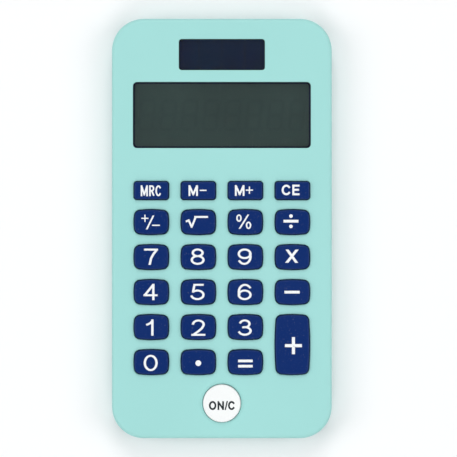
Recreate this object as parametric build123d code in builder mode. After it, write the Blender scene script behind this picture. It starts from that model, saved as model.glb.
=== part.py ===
from build123d import *

import os
from dataclasses import dataclass
from math import hypot, radians, tan

# Handheld solar calculator: a two-part case that holds a display, a solar cell, a keypad on rubber
# domes, a circuit board and a button cell behind a screwed battery door.
# Units are millimetres. The calculator lies on its back: +Z points out of the key side, +Y towards
# the display end and +X to the reader's right. The origin is on the surface that the feet stand on,
# under the middle of the case.

# ---------------------------------------------------------------- driving dimensions: case
body_width = 60.0
body_length = 114.5
body_corner = 8.7
wall = 1.4
front_edge_radius = 1.0
rear_edge_radius = 2.2
rim_radius = 0.2  # rounding of every opening in the front face
parting_gap = 0.2  # shadow line between the two case parts
front_depth = 4.3  # height of the front case's outer wall
tongue_height = 0.8
tongue_thickness = 0.55
tongue_clearance = 0.12

foot_radius = 3.2
foot_height = 0.5  # how far a foot stands out of the back
foot_recess = 0.4
foot_clearance = 0.1
foot_round = 0.25
foot_inset_x = 8.5  # foot centre from the case's side and end
foot_inset_y = 17.5
label_width = 30.0
label_height = 15.0
label_corner = 1.5
label_recess = 0.15

# ---------------------------------------------------------------- driving dimensions: keypad
column_gap = 3.52
row_gap = 2.845
function_row_from_top = 46.9  # centre of the memory key row, from the display end
first_row_from_top = 55.5  # centre of the row below it
clear_from_top = 104.9  # centre of the round key
key_width = 9.3
key_height = 6.7
function_key_height = 4.8
clear_diameter = 10.3
key_bulge = 0.38  # how far the sides of a bowed key swell
key_corner = 1.5
function_key_corner = 0.75
least_corner = 0.2
key_clearance = 0.2
clear_key_clearance = 0.12  # a round key has no corners to catch, so it fits closer
key_proud = 1.2
key_edge_radius = 0.4
dish_depth = 0.22
key_skin = 1.1
flange_lip = 0.6  # how far the flange reaches past the opening
flange_thickness = 0.6
flange_gap = 0.1
plunger_radius = 1.7
plunger_length = 0.5
plunger_gap = 0.05
key_travel = 0.95

sheet_inset = 0.8  # rubber sheet's edge inside the board's
sheet_lap = 0.9  # sheet past the top row of domes
web_thickness = 0.5
dome_base_radius = 3.4
dome_top_radius = 2.0
dome_skin = 0.35
dome_crown = 0.6
pill_radius = 1.4
pill_thickness = 0.25
contact_radius = 1.7
contact_gap = 0.4
contact_thickness = 0.05

# ---------------------------------------------------------------- driving dimensions: electronics
pcb_thickness = 1.0
pcb_margin = 1.1  # from the board's edge to the case's inner wall
component_room = 1.4
display_from_top = 26.3  # centre of the display window, from the display end
display_width = 48.5
display_height = 18.0
window_corner = 1.1
window_lip = 1.1  # how far a window reaches under the case
window_recess = 0.6
window_clearance = 0.05
solar_from_top = 9.8
solar_width = 23.45
solar_height = 8.45
solar_window_lip = 0.9
solar_corner = 0.8
solar_cell_margin = 0.75
solar_cell_thickness = 1.05
solar_gap = 0.15
solar_pad_least = 0.3
solar_pad_gap = 0.05
solar_pad_inset = 1.0
panel_gap = 0.1
panel_top_margin = 1.25  # display panel past the window
panel_side_margin = 1.75
ledge_depth = 2.5  # part of the front glass that the rear glass leaves bare
glass_thickness = 0.6
film_thickness = 0.2
film_inset = 0.5
frame_rib = 0.8
frame_clearance = 0.2
zebra_depth = 2.0
zebra_inset = 3.0
zebra_edge_gap = 0.25
pcb_past_display = 7.2  # board edge above the zebra strip's edge
chip_radius = 4.2
chip_height = 1.0
chip_round = 0.7
capacitor_size = (2.0, 1.25, 0.9)
capacitor_spread = 9.0
led_size = (1.6, 0.8, 0.7)
led_x = 15.5
led_above_row = 8.0
wire_radius = 0.35
wire_gap = 0.05
solder_radius = 0.9
solder_height = 0.7
solder_from_edge = 1.4  # joint centre from the board's upper edge
solar_solder_inset = 0.2
leaf_solder_inset = 0.2

# ---------------------------------------------------------------- driving dimensions: battery
cell_radius = 5.8
cell_thickness = 3.05
cell_cap_radius = 4.7
cell_cap_height = 0.3
cell_round = 0.3
cell_cap_round = 0.15
cell_from_top = 11.65
cell_gap = 0.1
cell_side_clearance = 0.25
leaf_thickness = 0.15
leaf_gap = 0.06
leaf_width = 3.0
leaf_side_clearance = 0.3
leaf_foot_gap = 0.3  # under the upright end of the positive contact
leaf_reach = 3.0  # negative contact past the middle of the cell
leaf_dimple = 0.8
leaf_tail = 2.6  # how far a contact reaches out of the battery well
well_wall = 1.0
well_ceiling = 0.5
panel_air = 0.08  # between the battery well and the display panel above it
seat_thickness = 1.0
seat_margin = 2.0  # seat plate past the door on every side
seat_gap = 0.05

door_side_margin = 1.2  # door past the cell, at each side
door_past_cell = 7.4  # door's length beyond the cell's diameter, for the hooks and the screw
door_thickness = 1.2
door_corner = 1.0
door_clearance = 0.15
cell_to_hinge = 1.5
lip_thickness = 0.6  # case lip that the door's hooks turn on
hook_width = 3.0
hook_offset = 4.0
hook_reach = 0.9
hook_overlap = 1.2  # root of a hook on the plate
hook_thickness = 0.65
hook_clearance = 0.05
hook_side_clearance = 0.2
hook_swing_clearance = 0.25
grip_count = 3
grip_width = 6.0
grip_pitch = 1.3
grip_depth = 0.3
grip_from_screw = 4.6

# ---------------------------------------------------------------- driving dimensions: screws
boss_radius = 2.4
boss_split_drop = 0.6  # the two halves of a case boss meet this far below mid height
boss_inset = 6.5  # case screw from the case's side and end
post_radius = 1.5
post_clearance = 0.3
post_below_frame = 0.45  # gap between the upper posts and the display frame
post_above_clear = 2.0  # lower posts, nearer the round key than halfway
pilot_clearance = 0.05
pilot_end = 0.5  # plastic left above a pilot hole
support_radius = 0.9
support_spread = 22.0
support_gap = 0.05
door_boss_radius = 2.3


@dataclass
class ScrewSize:
    """A pan head screw with a cross recess."""

    head_radius: float
    head_height: float
    shank_radius: float
    shank_length: float
    hole_clearance: float = 0.2

    @property
    def hole_radius(self):
        return self.shank_radius + self.hole_clearance


case_screw = ScrewSize(1.6, 1.0, 0.8, 4.6)
board_screw = ScrewSize(1.25, 0.75, 0.55, 3.3, 0.15)
door_screw = ScrewSize(1.5, 0.6, 0.7, 2.6, 0.3)
door_screw_inset = 2.7  # from the door's free end
door_screw_sink = 0.1  # head below the door's face
door_hole_clearance = 0.25
door_head_clearance = 0.2
counterbore_depth = 1.2
counterbore_clearance = 0.3

# ---------------------------------------------------------------- levels, from the feet upwards
back_z = foot_height
floor_z = back_z + wall
pcb_bottom = floor_z + component_room
pcb_top = pcb_bottom + pcb_thickness
contact_top = pcb_top + contact_thickness
pill_bottom = contact_top + key_travel
dome_ceiling = pill_bottom + pill_thickness
dome_top = dome_ceiling + dome_crown
plunger_bottom = dome_top + plunger_gap
keypad_stack = plunger_bottom + plunger_length + flange_thickness + flange_gap

door_top = back_z + door_thickness
seat_z = door_top + seat_gap
seat_top = seat_z + seat_thickness
cell_bottom = door_top + cell_gap
cell_top = cell_bottom + cell_thickness
leaf_bottom = cell_top + leaf_gap
leaf_top = leaf_bottom + leaf_thickness
well_inner_top = leaf_top + leaf_gap
well_top = well_inner_top + well_ceiling
battery_stack = well_top + solar_pad_least + solar_cell_thickness + solar_gap
panel_stack = well_top + panel_air + 2 * film_thickness + 2 * glass_thickness + panel_gap

front_underside = max(keypad_stack, battery_stack, panel_stack)
front_z = front_underside + wall
key_top = front_z + key_proud
flange_top = front_underside - flange_gap
flange_bottom = flange_top - flange_thickness
front_bottom = front_z - front_depth
rear_top = front_bottom - parting_gap

panel_top = front_underside - panel_gap
front_glass_top = panel_top - film_thickness
front_glass_bottom = front_glass_top - glass_thickness
rear_glass_bottom = front_glass_bottom - glass_thickness
panel_bottom = rear_glass_bottom - film_thickness
solar_cell_top = front_underside - solar_gap
solar_cell_bottom = solar_cell_top - solar_cell_thickness
window_thickness = wall - window_recess

# ---------------------------------------------------------------- places in plan
top_edge = body_length / 2
inner_width = body_width - 2 * wall
inner_length = body_length - 2 * wall
inner_corner = body_corner - wall

display_y = top_edge - display_from_top
solar_y = top_edge - solar_from_top
cell_y = top_edge - cell_from_top
panel_top_y = display_y + display_height / 2 + panel_top_margin
panel_bottom_y = display_y - display_height / 2 - ledge_depth - film_inset / 2
panel_width = display_width + 2 * panel_side_margin
panel_length = panel_top_y - panel_bottom_y
panel_y = (panel_top_y + panel_bottom_y) / 2
zebra_y = panel_bottom_y + zebra_edge_gap + zebra_depth / 2

pcb_width = inner_width - 2 * pcb_margin
pcb_top_y = zebra_y + zebra_depth / 2 + pcb_past_display
pcb_bottom_y = -inner_length / 2 + pcb_margin

hinge_y = cell_y + cell_radius + cell_to_hinge
hinge_z = back_z + lip_thickness / 2
nose_radius = lip_thickness / 2
door_width = 2 * cell_radius + 2 * door_side_margin
door_length = 2 * cell_radius + door_past_cell
door_hinge_end = hinge_y - nose_radius - door_clearance
door_free_end = door_hinge_end - door_length
door_y = (door_hinge_end + door_free_end) / 2
door_screw_y = door_free_end + door_screw_inset
door_screw_head_z = back_z + door_screw_sink
door_screw_tip = door_screw_head_z + door_screw.head_height + door_screw.shank_length + pilot_end
hook_root = hook_reach + nose_radius + door_clearance + hook_overlap
hook_swing_radius = hypot(hook_reach, nose_radius + hook_clearance + hook_thickness)
boss_split_z = (floor_z + front_underside) / 2 - boss_split_drop

boss_x = body_width / 2 - boss_inset
boss_y = body_length / 2 - boss_inset
boss_points = [(x, y) for x in (-boss_x, boss_x) for y in (-boss_y, boss_y)]
foot_x = body_width / 2 - foot_inset_x
foot_y = body_length / 2 - foot_inset_y
foot_points = [(x, y) for x in (-foot_x, foot_x) for y in (-foot_y, foot_y)]
notch_x = boss_x - boss_radius - post_clearance  # board corners are cut back to clear the bosses
notch_y = boss_y - boss_radius - post_clearance


# ---------------------------------------------------------------- keys
@dataclass
class Key:
    """One key cap: its name, the middle of its opening and the size of the cap."""

    name: str
    x: float
    y: float
    width: float = key_width
    height: float = key_height
    style: str = "bowed"
    clearance: float = key_clearance


function_row_y = top_edge - function_row_from_top
first_row_y = top_edge - first_row_from_top
clear_y = top_edge - clear_from_top
column_pitch = key_width + column_gap
row_pitch = key_height + row_gap
columns = [(i - 1.5) * column_pitch for i in range(4)]
rows = [first_row_y - i * row_pitch for i in range(5)]
key_names = [
    ["sign", "root", "percent", "divide"],
    ["7", "8", "9", "multiply"],
    ["4", "5", "6", "minus"],
    ["1", "2", "3"],
    ["0", "point", "equals"],
]
keys = [
    Key(f"key_{name}", x, function_row_y, key_width, function_key_height, "plain")
    for name, x in zip(["memory_recall", "memory_minus", "memory_plus", "clear_entry"], columns)
]
for names, y in zip(key_names, rows):
    keys += [Key(f"key_{name}", x, y) for name, x in zip(names, columns)]
keys.append(Key("key_plus", columns[3], (rows[3] + rows[4]) / 2, key_width, key_height + row_pitch))
keys.append(
    Key("key_on_clear", 0, clear_y, clear_diameter, clear_diameter, "round", clear_key_clearance)
)
key_points = [(key.x, key.y) for key in keys]

# Board posts stand where the gaps between four keys cross, and beside the display and round key.
gap_rows = [(upper + lower) / 2 for upper, lower in zip(rows, rows[1:])]
frame_outer_y = panel_bottom_y - frame_clearance - frame_rib
post_top_y = frame_outer_y - post_below_frame - post_radius
post_low_y = (rows[4] + clear_y) / 2 - post_above_clear
post_points = [(0, gap_rows[1])]
for side in (-column_pitch, column_pitch):
    post_points += [(side, y) for y in (post_top_y, gap_rows[0], gap_rows[2], post_low_y)]
support_points = [
    (x, y) for x in (-support_spread, support_spread) for y in (function_row_y, rows[1], rows[3])
]
support_points += [(0, gap_rows[2]), (0, rows[4])]


# ---------------------------------------------------------------- helpers
at_level = 0.001  # tolerance for picking edges at one height
arc_share = 0.45  # part of a run that a wire's bend may use


def draw_key_outline(key, grow=0.0):
    """Draws a key's outline in the current sketch, grown outwards by the given distance."""
    half_width = key.width / 2 + grow
    half_height = key.height / 2 + grow
    if key.style == "round":
        Circle(half_width)
    elif key.style == "plain":
        corner = max(function_key_corner + grow, least_corner)
        RectangleRounded(2 * half_width, 2 * half_height, corner)
    else:
        corner_x = half_width - key_bulge
        corner_y = half_height - key_bulge
        with BuildLine() as sides:
            ThreePointArc((-corner_x, corner_y), (0, half_height), (corner_x, corner_y))
            ThreePointArc((corner_x, corner_y), (half_width, 0), (corner_x, -corner_y))
            ThreePointArc((corner_x, -corner_y), (0, -half_height), (-corner_x, -corner_y))
            ThreePointArc((-corner_x, -corner_y), (-half_width, 0), (-corner_x, corner_y))
        make_face(sides.edges())
        fillet(vertices(), max(key_corner + grow, least_corner))


def rounded_block(x, y, width, length, corner, bottom, top, mode=Mode.ADD):
    """Adds an upright block with round corners to the current part, or cuts it away."""
    with BuildSketch(Plane((x, y, bottom))) as outline:
        if corner > 0:
            RectangleRounded(width, length, corner)
        else:
            Rectangle(width, length)
    extrude(outline.sketch, amount=top - bottom, mode=mode)


def upright_cylinders(points, radius, bottom, top, mode=Mode.ADD):
    """Adds or cuts the same upright cylinder at each point in plan."""
    with BuildSketch(Plane.XY.offset(bottom)) as outline:
        with Locations(*points):
            Circle(radius)
    extrude(outline.sketch, amount=top - bottom, mode=mode)


def add_screws(points, size, head_bottom):
    """Adds screws that point up, with a cross recess in the underside of each head."""
    head_top = head_bottom + size.head_height
    upright_cylinders(points, size.head_radius, head_bottom, head_top)
    rims = edges().filter_by_position(Axis.Z, head_bottom - at_level, head_bottom + at_level)
    fillet(rims, size.head_height / 3)
    tip = head_top + size.shank_length
    upright_cylinders(points, size.shank_radius, head_top, tip)
    tips = edges().filter_by_position(Axis.Z, tip - at_level, tip + at_level)
    chamfer(tips, size.shank_radius / 2)
    cross_length = 1.3 * size.head_radius
    cross_width = 0.28 * size.head_radius
    with BuildSketch(Plane.XY.offset(head_bottom)) as cross:
        with Locations(*points):
            Rectangle(cross_length, cross_width)
            Rectangle(cross_width, cross_length)
    extrude(cross.sketch, amount=0.6 * size.head_height, mode=Mode.SUBTRACT)


def bend_radii(route):
    """The largest tangent arc for each corner of a wire's route."""
    points = [Vector(*point) for point in route]
    radii = []
    for before, here, after in zip(points, points[1:], points[2:]):
        arriving = here - before
        leaving = after - here
        turn = arriving.get_angle(leaving)
        shorter = min(arriving.length, leaving.length)
        radii.append(arc_share * shorter / tan(radians(turn) / 2))
    return radii


def save(builder, label):
    """Names the finished piece and writes it as its own file."""
    builder.part.label = label
    export_step(builder.part, f"parts/{label}.step")


def make_plate(label, x, y, width, length, bottom, thickness, corner=0.0):
    """A flat upright plate, such as a window or a sheet of glass."""
    with BuildPart() as plate:
        rounded_block(x, y, width, length, corner, bottom, bottom + thickness)
    save(plate, label)


def make_wire(label, route):
    """A thin insulated wire that follows straight runs joined by tangent arcs."""
    radii = bend_radii(route)
    with BuildPart() as wire:
        with BuildLine() as path:
            FilletPolyline(*route, radius=radii)
        with BuildSketch(Plane(origin=path.line @ 0, z_dir=path.line % 0)):
            Circle(wire_radius)
        sweep()
    print(label, "bend radii", [round(radius, 1) for radius in radii])
    save(wire, label)


# ---------------------------------------------------------------- case
def make_front_case():
    """The key side of the case: openings, window seats, screw posts and the frame round the panel."""
    with BuildPart() as front_case:
        rounded_block(0, 0, body_width, body_length, body_corner, front_bottom, front_z)
        fillet(front_case.edges().group_by(Axis.Z)[-1], front_edge_radius)
        rounded_block(
            0, 0, inner_width, inner_length, inner_corner, front_bottom, front_underside, Mode.SUBTRACT
        )

        # Room for the rear case's tongue inside the outer wall
        rebate = wall - tongue_thickness - tongue_clearance
        rounded_block(
            0,
            0,
            body_width - 2 * rebate,
            body_length - 2 * rebate,
            body_corner - rebate,
            front_bottom,
            front_bottom - parting_gap + tongue_height + tongue_clearance,
            Mode.SUBTRACT,
        )

        # Ribs that frame the display panel and the solar cell
        frame_bottom = panel_bottom + film_thickness
        frame_width = panel_width + 2 * frame_clearance
        frame_length = panel_length + 2 * frame_clearance
        with BuildSketch(Plane((0, panel_y, frame_bottom))):
            Rectangle(frame_width + 2 * frame_rib, frame_length + 2 * frame_rib)
            Rectangle(frame_width, frame_length, mode=Mode.SUBTRACT)
        extrude(amount=front_underside - frame_bottom)
        cell_frame_width = solar_width + 2 * solar_cell_margin + 2 * frame_clearance
        cell_frame_length = solar_height + 2 * solar_cell_margin + 2 * frame_clearance
        with BuildSketch(Plane((0, solar_y, solar_cell_bottom))):
            Rectangle(cell_frame_width + 2 * frame_rib, cell_frame_length + 2 * frame_rib)
            Rectangle(cell_frame_width, cell_frame_length, mode=Mode.SUBTRACT)
        extrude(amount=front_underside - solar_cell_bottom)

        # Posts for the board screws and bosses for the case screws
        upright_cylinders(post_points, post_radius, pcb_top, front_underside)
        upright_cylinders(boss_points, boss_radius, boss_split_z + parting_gap, front_underside)
        board_pilot = board_screw.shank_radius + pilot_clearance
        upright_cylinders(
            post_points, board_pilot, pcb_top, front_underside - pilot_end, Mode.SUBTRACT
        )
        case_pilot = case_screw.shank_radius + pilot_clearance
        upright_cylinders(
            boss_points,
            case_pilot,
            boss_split_z + parting_gap,
            front_underside - pilot_end,
            Mode.SUBTRACT,
        )

        # Key openings
        for key in keys:
            with BuildSketch(Plane((key.x, key.y, front_underside))):
                draw_key_outline(key, key.clearance)
        extrude(amount=wall, mode=Mode.SUBTRACT)

        # Window openings, each with a wider seat on the inside
        seat_top_z = front_underside + window_thickness
        for y, width, height, lip, corner in (
            (display_y, display_width, display_height, window_lip, window_corner),
            (solar_y, solar_width, solar_height, solar_window_lip, solar_corner),
        ):
            rounded_block(0, y, width, height, corner, front_underside, front_z, Mode.SUBTRACT)
            rounded_block(
                0,
                y,
                width + 2 * lip,
                height + 2 * lip,
                corner,
                front_underside,
                seat_top_z,
                Mode.SUBTRACT,
            )
        rims = front_case.faces().sort_by(Axis.Z)[-1].inner_wires().edges()
        fillet(rims, rim_radius)
    save(front_case, "front_case")


def make_rear_case():
    """The back of the case: tray, tongue, screw bosses, board supports and the battery well."""
    with BuildPart() as rear_case:
        rounded_block(0, 0, body_width, body_length, body_corner, back_z, rear_top)
        fillet(rear_case.edges().group_by(Axis.Z)[0], rear_edge_radius)
        rounded_block(
            0, 0, inner_width, inner_length, inner_corner, floor_z, rear_top, Mode.SUBTRACT
        )
        floor_edges = rear_case.edges().filter_by_position(
            Axis.Z, floor_z - at_level, floor_z + at_level
        )
        fillet(floor_edges, rear_edge_radius - wall)

        # Tongue that locates the front case
        inset = wall - tongue_thickness
        with BuildSketch(Plane.XY.offset(rear_top)):
            RectangleRounded(body_width - 2 * inset, body_length - 2 * inset, body_corner - inset)
            RectangleRounded(inner_width, inner_length, inner_corner, mode=Mode.SUBTRACT)
        extrude(amount=tongue_height)

        # Case screw bosses, with a deep counterbore from the back
        upright_cylinders(boss_points, boss_radius, floor_z, boss_split_z)
        upright_cylinders(boss_points, case_screw.hole_radius, back_z, boss_split_z, Mode.SUBTRACT)
        upright_cylinders(
            boss_points,
            case_screw.head_radius + counterbore_clearance,
            back_z,
            back_z + counterbore_depth,
            Mode.SUBTRACT,
        )

        # Supports under the circuit board
        upright_cylinders(support_points, support_radius, floor_z, pcb_bottom - support_gap)

        # Seats of the feet and the shallow label panel
        upright_cylinders(foot_points, foot_radius, back_z, back_z + foot_recess, Mode.SUBTRACT)
        rounded_block(
            0,
            0,
            label_width,
            label_height,
            label_corner,
            back_z,
            back_z + label_recess,
            Mode.SUBTRACT,
        )

        # Battery well: seat plate behind the door, ring wall with a ceiling, door screw boss
        rounded_block(
            0,
            door_y,
            door_width + 2 * seat_margin,
            door_length + 2 * seat_margin,
            0,
            floor_z,
            seat_top,
        )
        well_radius = cell_radius + cell_side_clearance
        upright_cylinders([(0, cell_y)], well_radius + well_wall, seat_top, well_top)
        upright_cylinders(
            [(0, door_screw_y)], door_boss_radius, seat_top, door_screw_tip + pilot_end
        )
        rounded_block(
            0,
            door_y,
            door_width + 2 * door_clearance,
            door_length + 2 * door_clearance,
            door_corner + door_clearance,
            back_z,
            seat_z,
            Mode.SUBTRACT,
        )
        # The hinge edge of the recess is straight, so its two round corners are squared off
        hinge_strip = door_corner + door_clearance
        rounded_block(
            0,
            hinge_y - nose_radius - hinge_strip / 2,
            door_width + 2 * door_clearance,
            hinge_strip,
            0,
            back_z,
            seat_z,
            Mode.SUBTRACT,
        )
        upright_cylinders([(0, cell_y)], well_radius, seat_z, well_inner_top, Mode.SUBTRACT)
        upright_cylinders(
            [(0, door_screw_y)], door_screw.hole_radius, seat_z, door_screw_tip, Mode.SUBTRACT
        )

        # Lip that the door's hooks turn on, rounded on its edge, with a pocket above it at each hook
        lip_width = door_width + 2 * door_clearance
        with BuildSketch(Plane.YZ.offset(-lip_width / 2)):
            with Locations((hinge_y - nose_radius / 2, hinge_z)):
                Rectangle(nose_radius, lip_thickness)
        extrude(amount=lip_width, mode=Mode.SUBTRACT)
        with BuildSketch(Plane.YZ.offset(-lip_width / 2)):
            with Locations((hinge_y, hinge_z)):
                Circle(nose_radius)
        extrude(amount=lip_width)
        pocket_top = hinge_z + hook_swing_radius + hook_swing_clearance
        for x in (-hook_offset, hook_offset):
            pocket_width = hook_width + 2 * hook_side_clearance
            rounded_block(
                x,
                hinge_y + hook_reach - hook_root / 2,
                pocket_width,
                hook_root + 2 * hook_side_clearance,
                0,
                back_z + lip_thickness,
                pocket_top,
                Mode.SUBTRACT,
            )

        # Slots in the ring wall for the two battery contacts
        slot_width = leaf_width + 2 * leaf_side_clearance
        slot_x = well_radius + well_wall / 2
        rounded_block(
            slot_x, cell_y, 2 * well_wall, slot_width, 0, seat_top, well_inner_top, Mode.SUBTRACT
        )
        rounded_block(
            -slot_x,
            cell_y,
            2 * well_wall,
            slot_width,
            0,
            leaf_bottom - leaf_gap,
            well_inner_top,
            Mode.SUBTRACT,
        )
    save(rear_case, "rear_case")


# ---------------------------------------------------------------- battery door
def make_battery_door():
    """A flush plate with two hooks at its hinge end and a hole for its captive screw."""
    with BuildPart() as battery_door:
        rounded_block(0, door_y, door_width, door_length, door_corner, back_z, door_top)
        square_end = 2 * door_corner
        rounded_block(
            0, door_hinge_end - square_end / 2, door_width, square_end, 0, back_z, door_top
        )
        # Hooks over the case lip, hollowed round the lip's nose
        hook_bottom = hinge_z + nose_radius + hook_clearance
        for x in (-hook_offset, hook_offset):
            rounded_block(
                x,
                hinge_y + hook_reach - hook_root / 2,
                hook_width,
                hook_root,
                0,
                hook_bottom,
                hook_bottom + hook_thickness,
            )
        with BuildSketch(Plane.YZ.offset(-door_width / 2)):
            with Locations((hinge_y, hinge_z)):
                Circle(nose_radius + hook_clearance)
        extrude(amount=door_width, mode=Mode.SUBTRACT)
        with Locations(Location((0, door_screw_y, back_z), (180, 0, 0))):
            CounterBoreHole(
                door_screw.shank_radius + door_hole_clearance,
                door_screw.head_radius + door_head_clearance,
                door_screw_head_z - back_z + door_screw.head_height,
            )
        # Finger grip: shallow grooves next to the screw
        with BuildSketch(Plane.XY.offset(back_z)):
            with Locations((0, door_screw_y + grip_from_screw)):
                with GridLocations(0, grip_pitch, 1, grip_count):
                    SlotOverall(grip_width, grip_pitch / 2)
        extrude(amount=grip_depth, mode=Mode.SUBTRACT)
    save(battery_door, "battery_door")


# ---------------------------------------------------------------- screws and feet
def make_screws():
    """Four case screws, the board screws and the door's own screw."""
    with BuildPart() as case_screws:
        head_bottom = back_z + counterbore_depth - case_screw.head_height
        add_screws(boss_points, case_screw, head_bottom)
    save(case_screws, "case_screws")
    with BuildPart() as board_screws:
        add_screws(post_points, board_screw, pcb_bottom - board_screw.head_height)
    save(board_screws, "board_screws")
    with BuildPart() as battery_door_screw:
        add_screws([(0, door_screw_y)], door_screw, door_screw_head_z)
    save(battery_door_screw, "battery_door_screw")


def make_feet():
    """Four round rubber feet, glued into their recesses."""
    with BuildPart() as rubber_feet:
        upright_cylinders(foot_points, foot_radius - foot_clearance, 0, foot_height + foot_recess)
        fillet(rubber_feet.edges().group_by(Axis.Z)[0], foot_round)
    save(rubber_feet, "rubber_feet")


# ---------------------------------------------------------------- keypad
def make_key(key):
    """A hollow moulded cap with a retaining flange, a dished top and a plunger under it."""
    reach = hypot(key.width, key.height) / 2
    dish_radius = reach**2 / (2 * dish_depth) + dish_depth / 2
    with BuildPart() as cap:
        with BuildSketch(Plane((key.x, key.y, flange_bottom))):
            draw_key_outline(key, key.clearance + flange_lip)
        extrude(amount=flange_thickness)
        with BuildSketch(Plane((key.x, key.y, flange_top))):
            draw_key_outline(key)
        extrude(amount=key_top - flange_top)
        # The dish is a shallow cap of a large sphere that just reaches the key's farthest corners
        with Locations((key.x, key.y, key_top + dish_radius - dish_depth)):
            Sphere(dish_radius, mode=Mode.SUBTRACT)
        fillet(cap.faces().sort_by(Axis.Z)[-1].edges(), key_edge_radius)
        # The hollow underneath leaves a skin and the plunger's root
        with BuildSketch(Plane((key.x, key.y, flange_bottom))):
            draw_key_outline(key, -key_skin)
            Circle(plunger_radius, mode=Mode.SUBTRACT)
        extrude(amount=key_top - dish_depth - key_skin - flange_bottom, mode=Mode.SUBTRACT)
        upright_cylinders([(key.x, key.y)], plunger_radius, plunger_bottom, flange_bottom)
    save(cap, key.name)


def draw_sheet_outline(margin, top_y):
    """Draws the board's outline, or the rubber sheet's, with the lower corners cut for the bosses."""
    half_width = pcb_width / 2 - margin
    low = pcb_bottom_y + margin
    with Locations((0, (top_y + low) / 2)):
        Rectangle(2 * half_width, top_y - low)
    for side in (-1, 1):
        with Locations((side * (notch_x + half_width) / 2, (low - notch_y) / 2)):
            Rectangle(half_width - notch_x, -notch_y - low, mode=Mode.SUBTRACT)


def make_dome_sheet():
    """One silicone sheet with a collapsible dome under every key, and the carbon pills in the domes."""
    sheet_top_y = function_row_y + dome_base_radius + sheet_lap
    with BuildPart() as rubber_dome_sheet:
        with BuildSketch(Plane.XY.offset(pcb_top)):
            draw_sheet_outline(sheet_inset, sheet_top_y)
            with Locations(*post_points):
                Circle(post_radius + post_clearance, mode=Mode.SUBTRACT)
        extrude(amount=web_thickness)
        web_top = pcb_top + web_thickness
        upright = (Align.CENTER, Align.CENTER, Align.MIN)
        with Locations(*[(x, y, web_top) for x, y in key_points]):
            Cone(dome_base_radius, dome_top_radius, dome_top - web_top, align=upright)
        with Locations(*[(x, y, pcb_top) for x, y in key_points]):
            Cone(
                dome_base_radius - dome_skin,
                dome_top_radius - dome_skin,
                dome_ceiling - pcb_top,
                align=upright,
                mode=Mode.SUBTRACT,
            )
    save(rubber_dome_sheet, "rubber_dome_sheet")
    with BuildPart() as carbon_pills:
        upright_cylinders(key_points, pill_radius, pill_bottom, dome_ceiling)
    save(carbon_pills, "carbon_pills")


# ---------------------------------------------------------------- circuit board
def make_circuit_board():
    """The board, its printed key contacts, the chip under its coating and the small parts."""
    with BuildPart() as circuit_board:
        with BuildSketch(Plane.XY.offset(pcb_bottom)):
            draw_sheet_outline(0, pcb_top_y)
            with Locations(*post_points):
                Circle(board_screw.hole_radius, mode=Mode.SUBTRACT)
        extrude(amount=pcb_thickness)
    save(circuit_board, "circuit_board")

    with BuildPart() as carbon_contacts:
        with BuildSketch(Plane.XY.offset(pcb_top)):
            with Locations(*key_points):
                Circle(contact_radius)
                Rectangle(contact_gap, 3 * contact_radius, mode=Mode.SUBTRACT)
        extrude(amount=contact_thickness)
    save(carbon_contacts, "carbon_contacts")

    with BuildPart() as chip_coating:
        upright_cylinders([(0, rows[0])], chip_radius, pcb_bottom - chip_height, pcb_bottom)
        fillet(chip_coating.edges().group_by(Axis.Z)[0], chip_round)
    save(chip_coating, "chip_coating")

    with BuildPart() as ceramic_capacitors:
        width, length, height = capacitor_size
        for x in (-capacitor_spread, capacitor_spread):
            rounded_block(x, function_row_y, width, length, 0, pcb_bottom - height, pcb_bottom)
    save(ceramic_capacitors, "ceramic_capacitors")
    with BuildPart() as clamp_led:
        width, length, height = led_size
        led_y = function_row_y + led_above_row
        rounded_block(led_x, led_y, width, length, 0, pcb_bottom - height, pcb_bottom)
    save(clamp_led, "clamp_led")


# ---------------------------------------------------------------- display
def make_display():
    """Window, the two glass sheets of the panel with their films, and the rubber connector."""
    make_plate(
        "display_window",
        0,
        display_y,
        display_width + 2 * (window_lip - window_clearance),
        display_height + 2 * (window_lip - window_clearance),
        front_underside,
        window_thickness,
        window_corner,
    )
    film_width = panel_width - 2 * film_inset
    film_top_y = panel_top_y - film_inset / 2
    film_bottom_y = display_y - display_height / 2 - film_inset / 2
    film_length = film_top_y - film_bottom_y
    film_y = (film_top_y + film_bottom_y) / 2
    rear_bottom_y = panel_bottom_y + ledge_depth
    rear_length = panel_top_y - rear_bottom_y
    rear_y = (panel_top_y + rear_bottom_y) / 2
    make_plate(
        "lcd_front_polariser", 0, film_y, film_width, film_length, front_glass_top, film_thickness
    )
    make_plate(
        "lcd_front_glass",
        0,
        panel_y,
        panel_width,
        panel_length,
        front_glass_bottom,
        glass_thickness,
    )
    make_plate(
        "lcd_rear_glass", 0, rear_y, panel_width, rear_length, rear_glass_bottom, glass_thickness
    )
    make_plate(
        "lcd_reflector", 0, film_y, film_width, film_length, panel_bottom, film_thickness
    )
    make_plate(
        "zebra_strip",
        0,
        zebra_y,
        panel_width - 2 * zebra_inset,
        zebra_depth,
        pcb_top,
        front_glass_bottom - pcb_top,
    )


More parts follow.
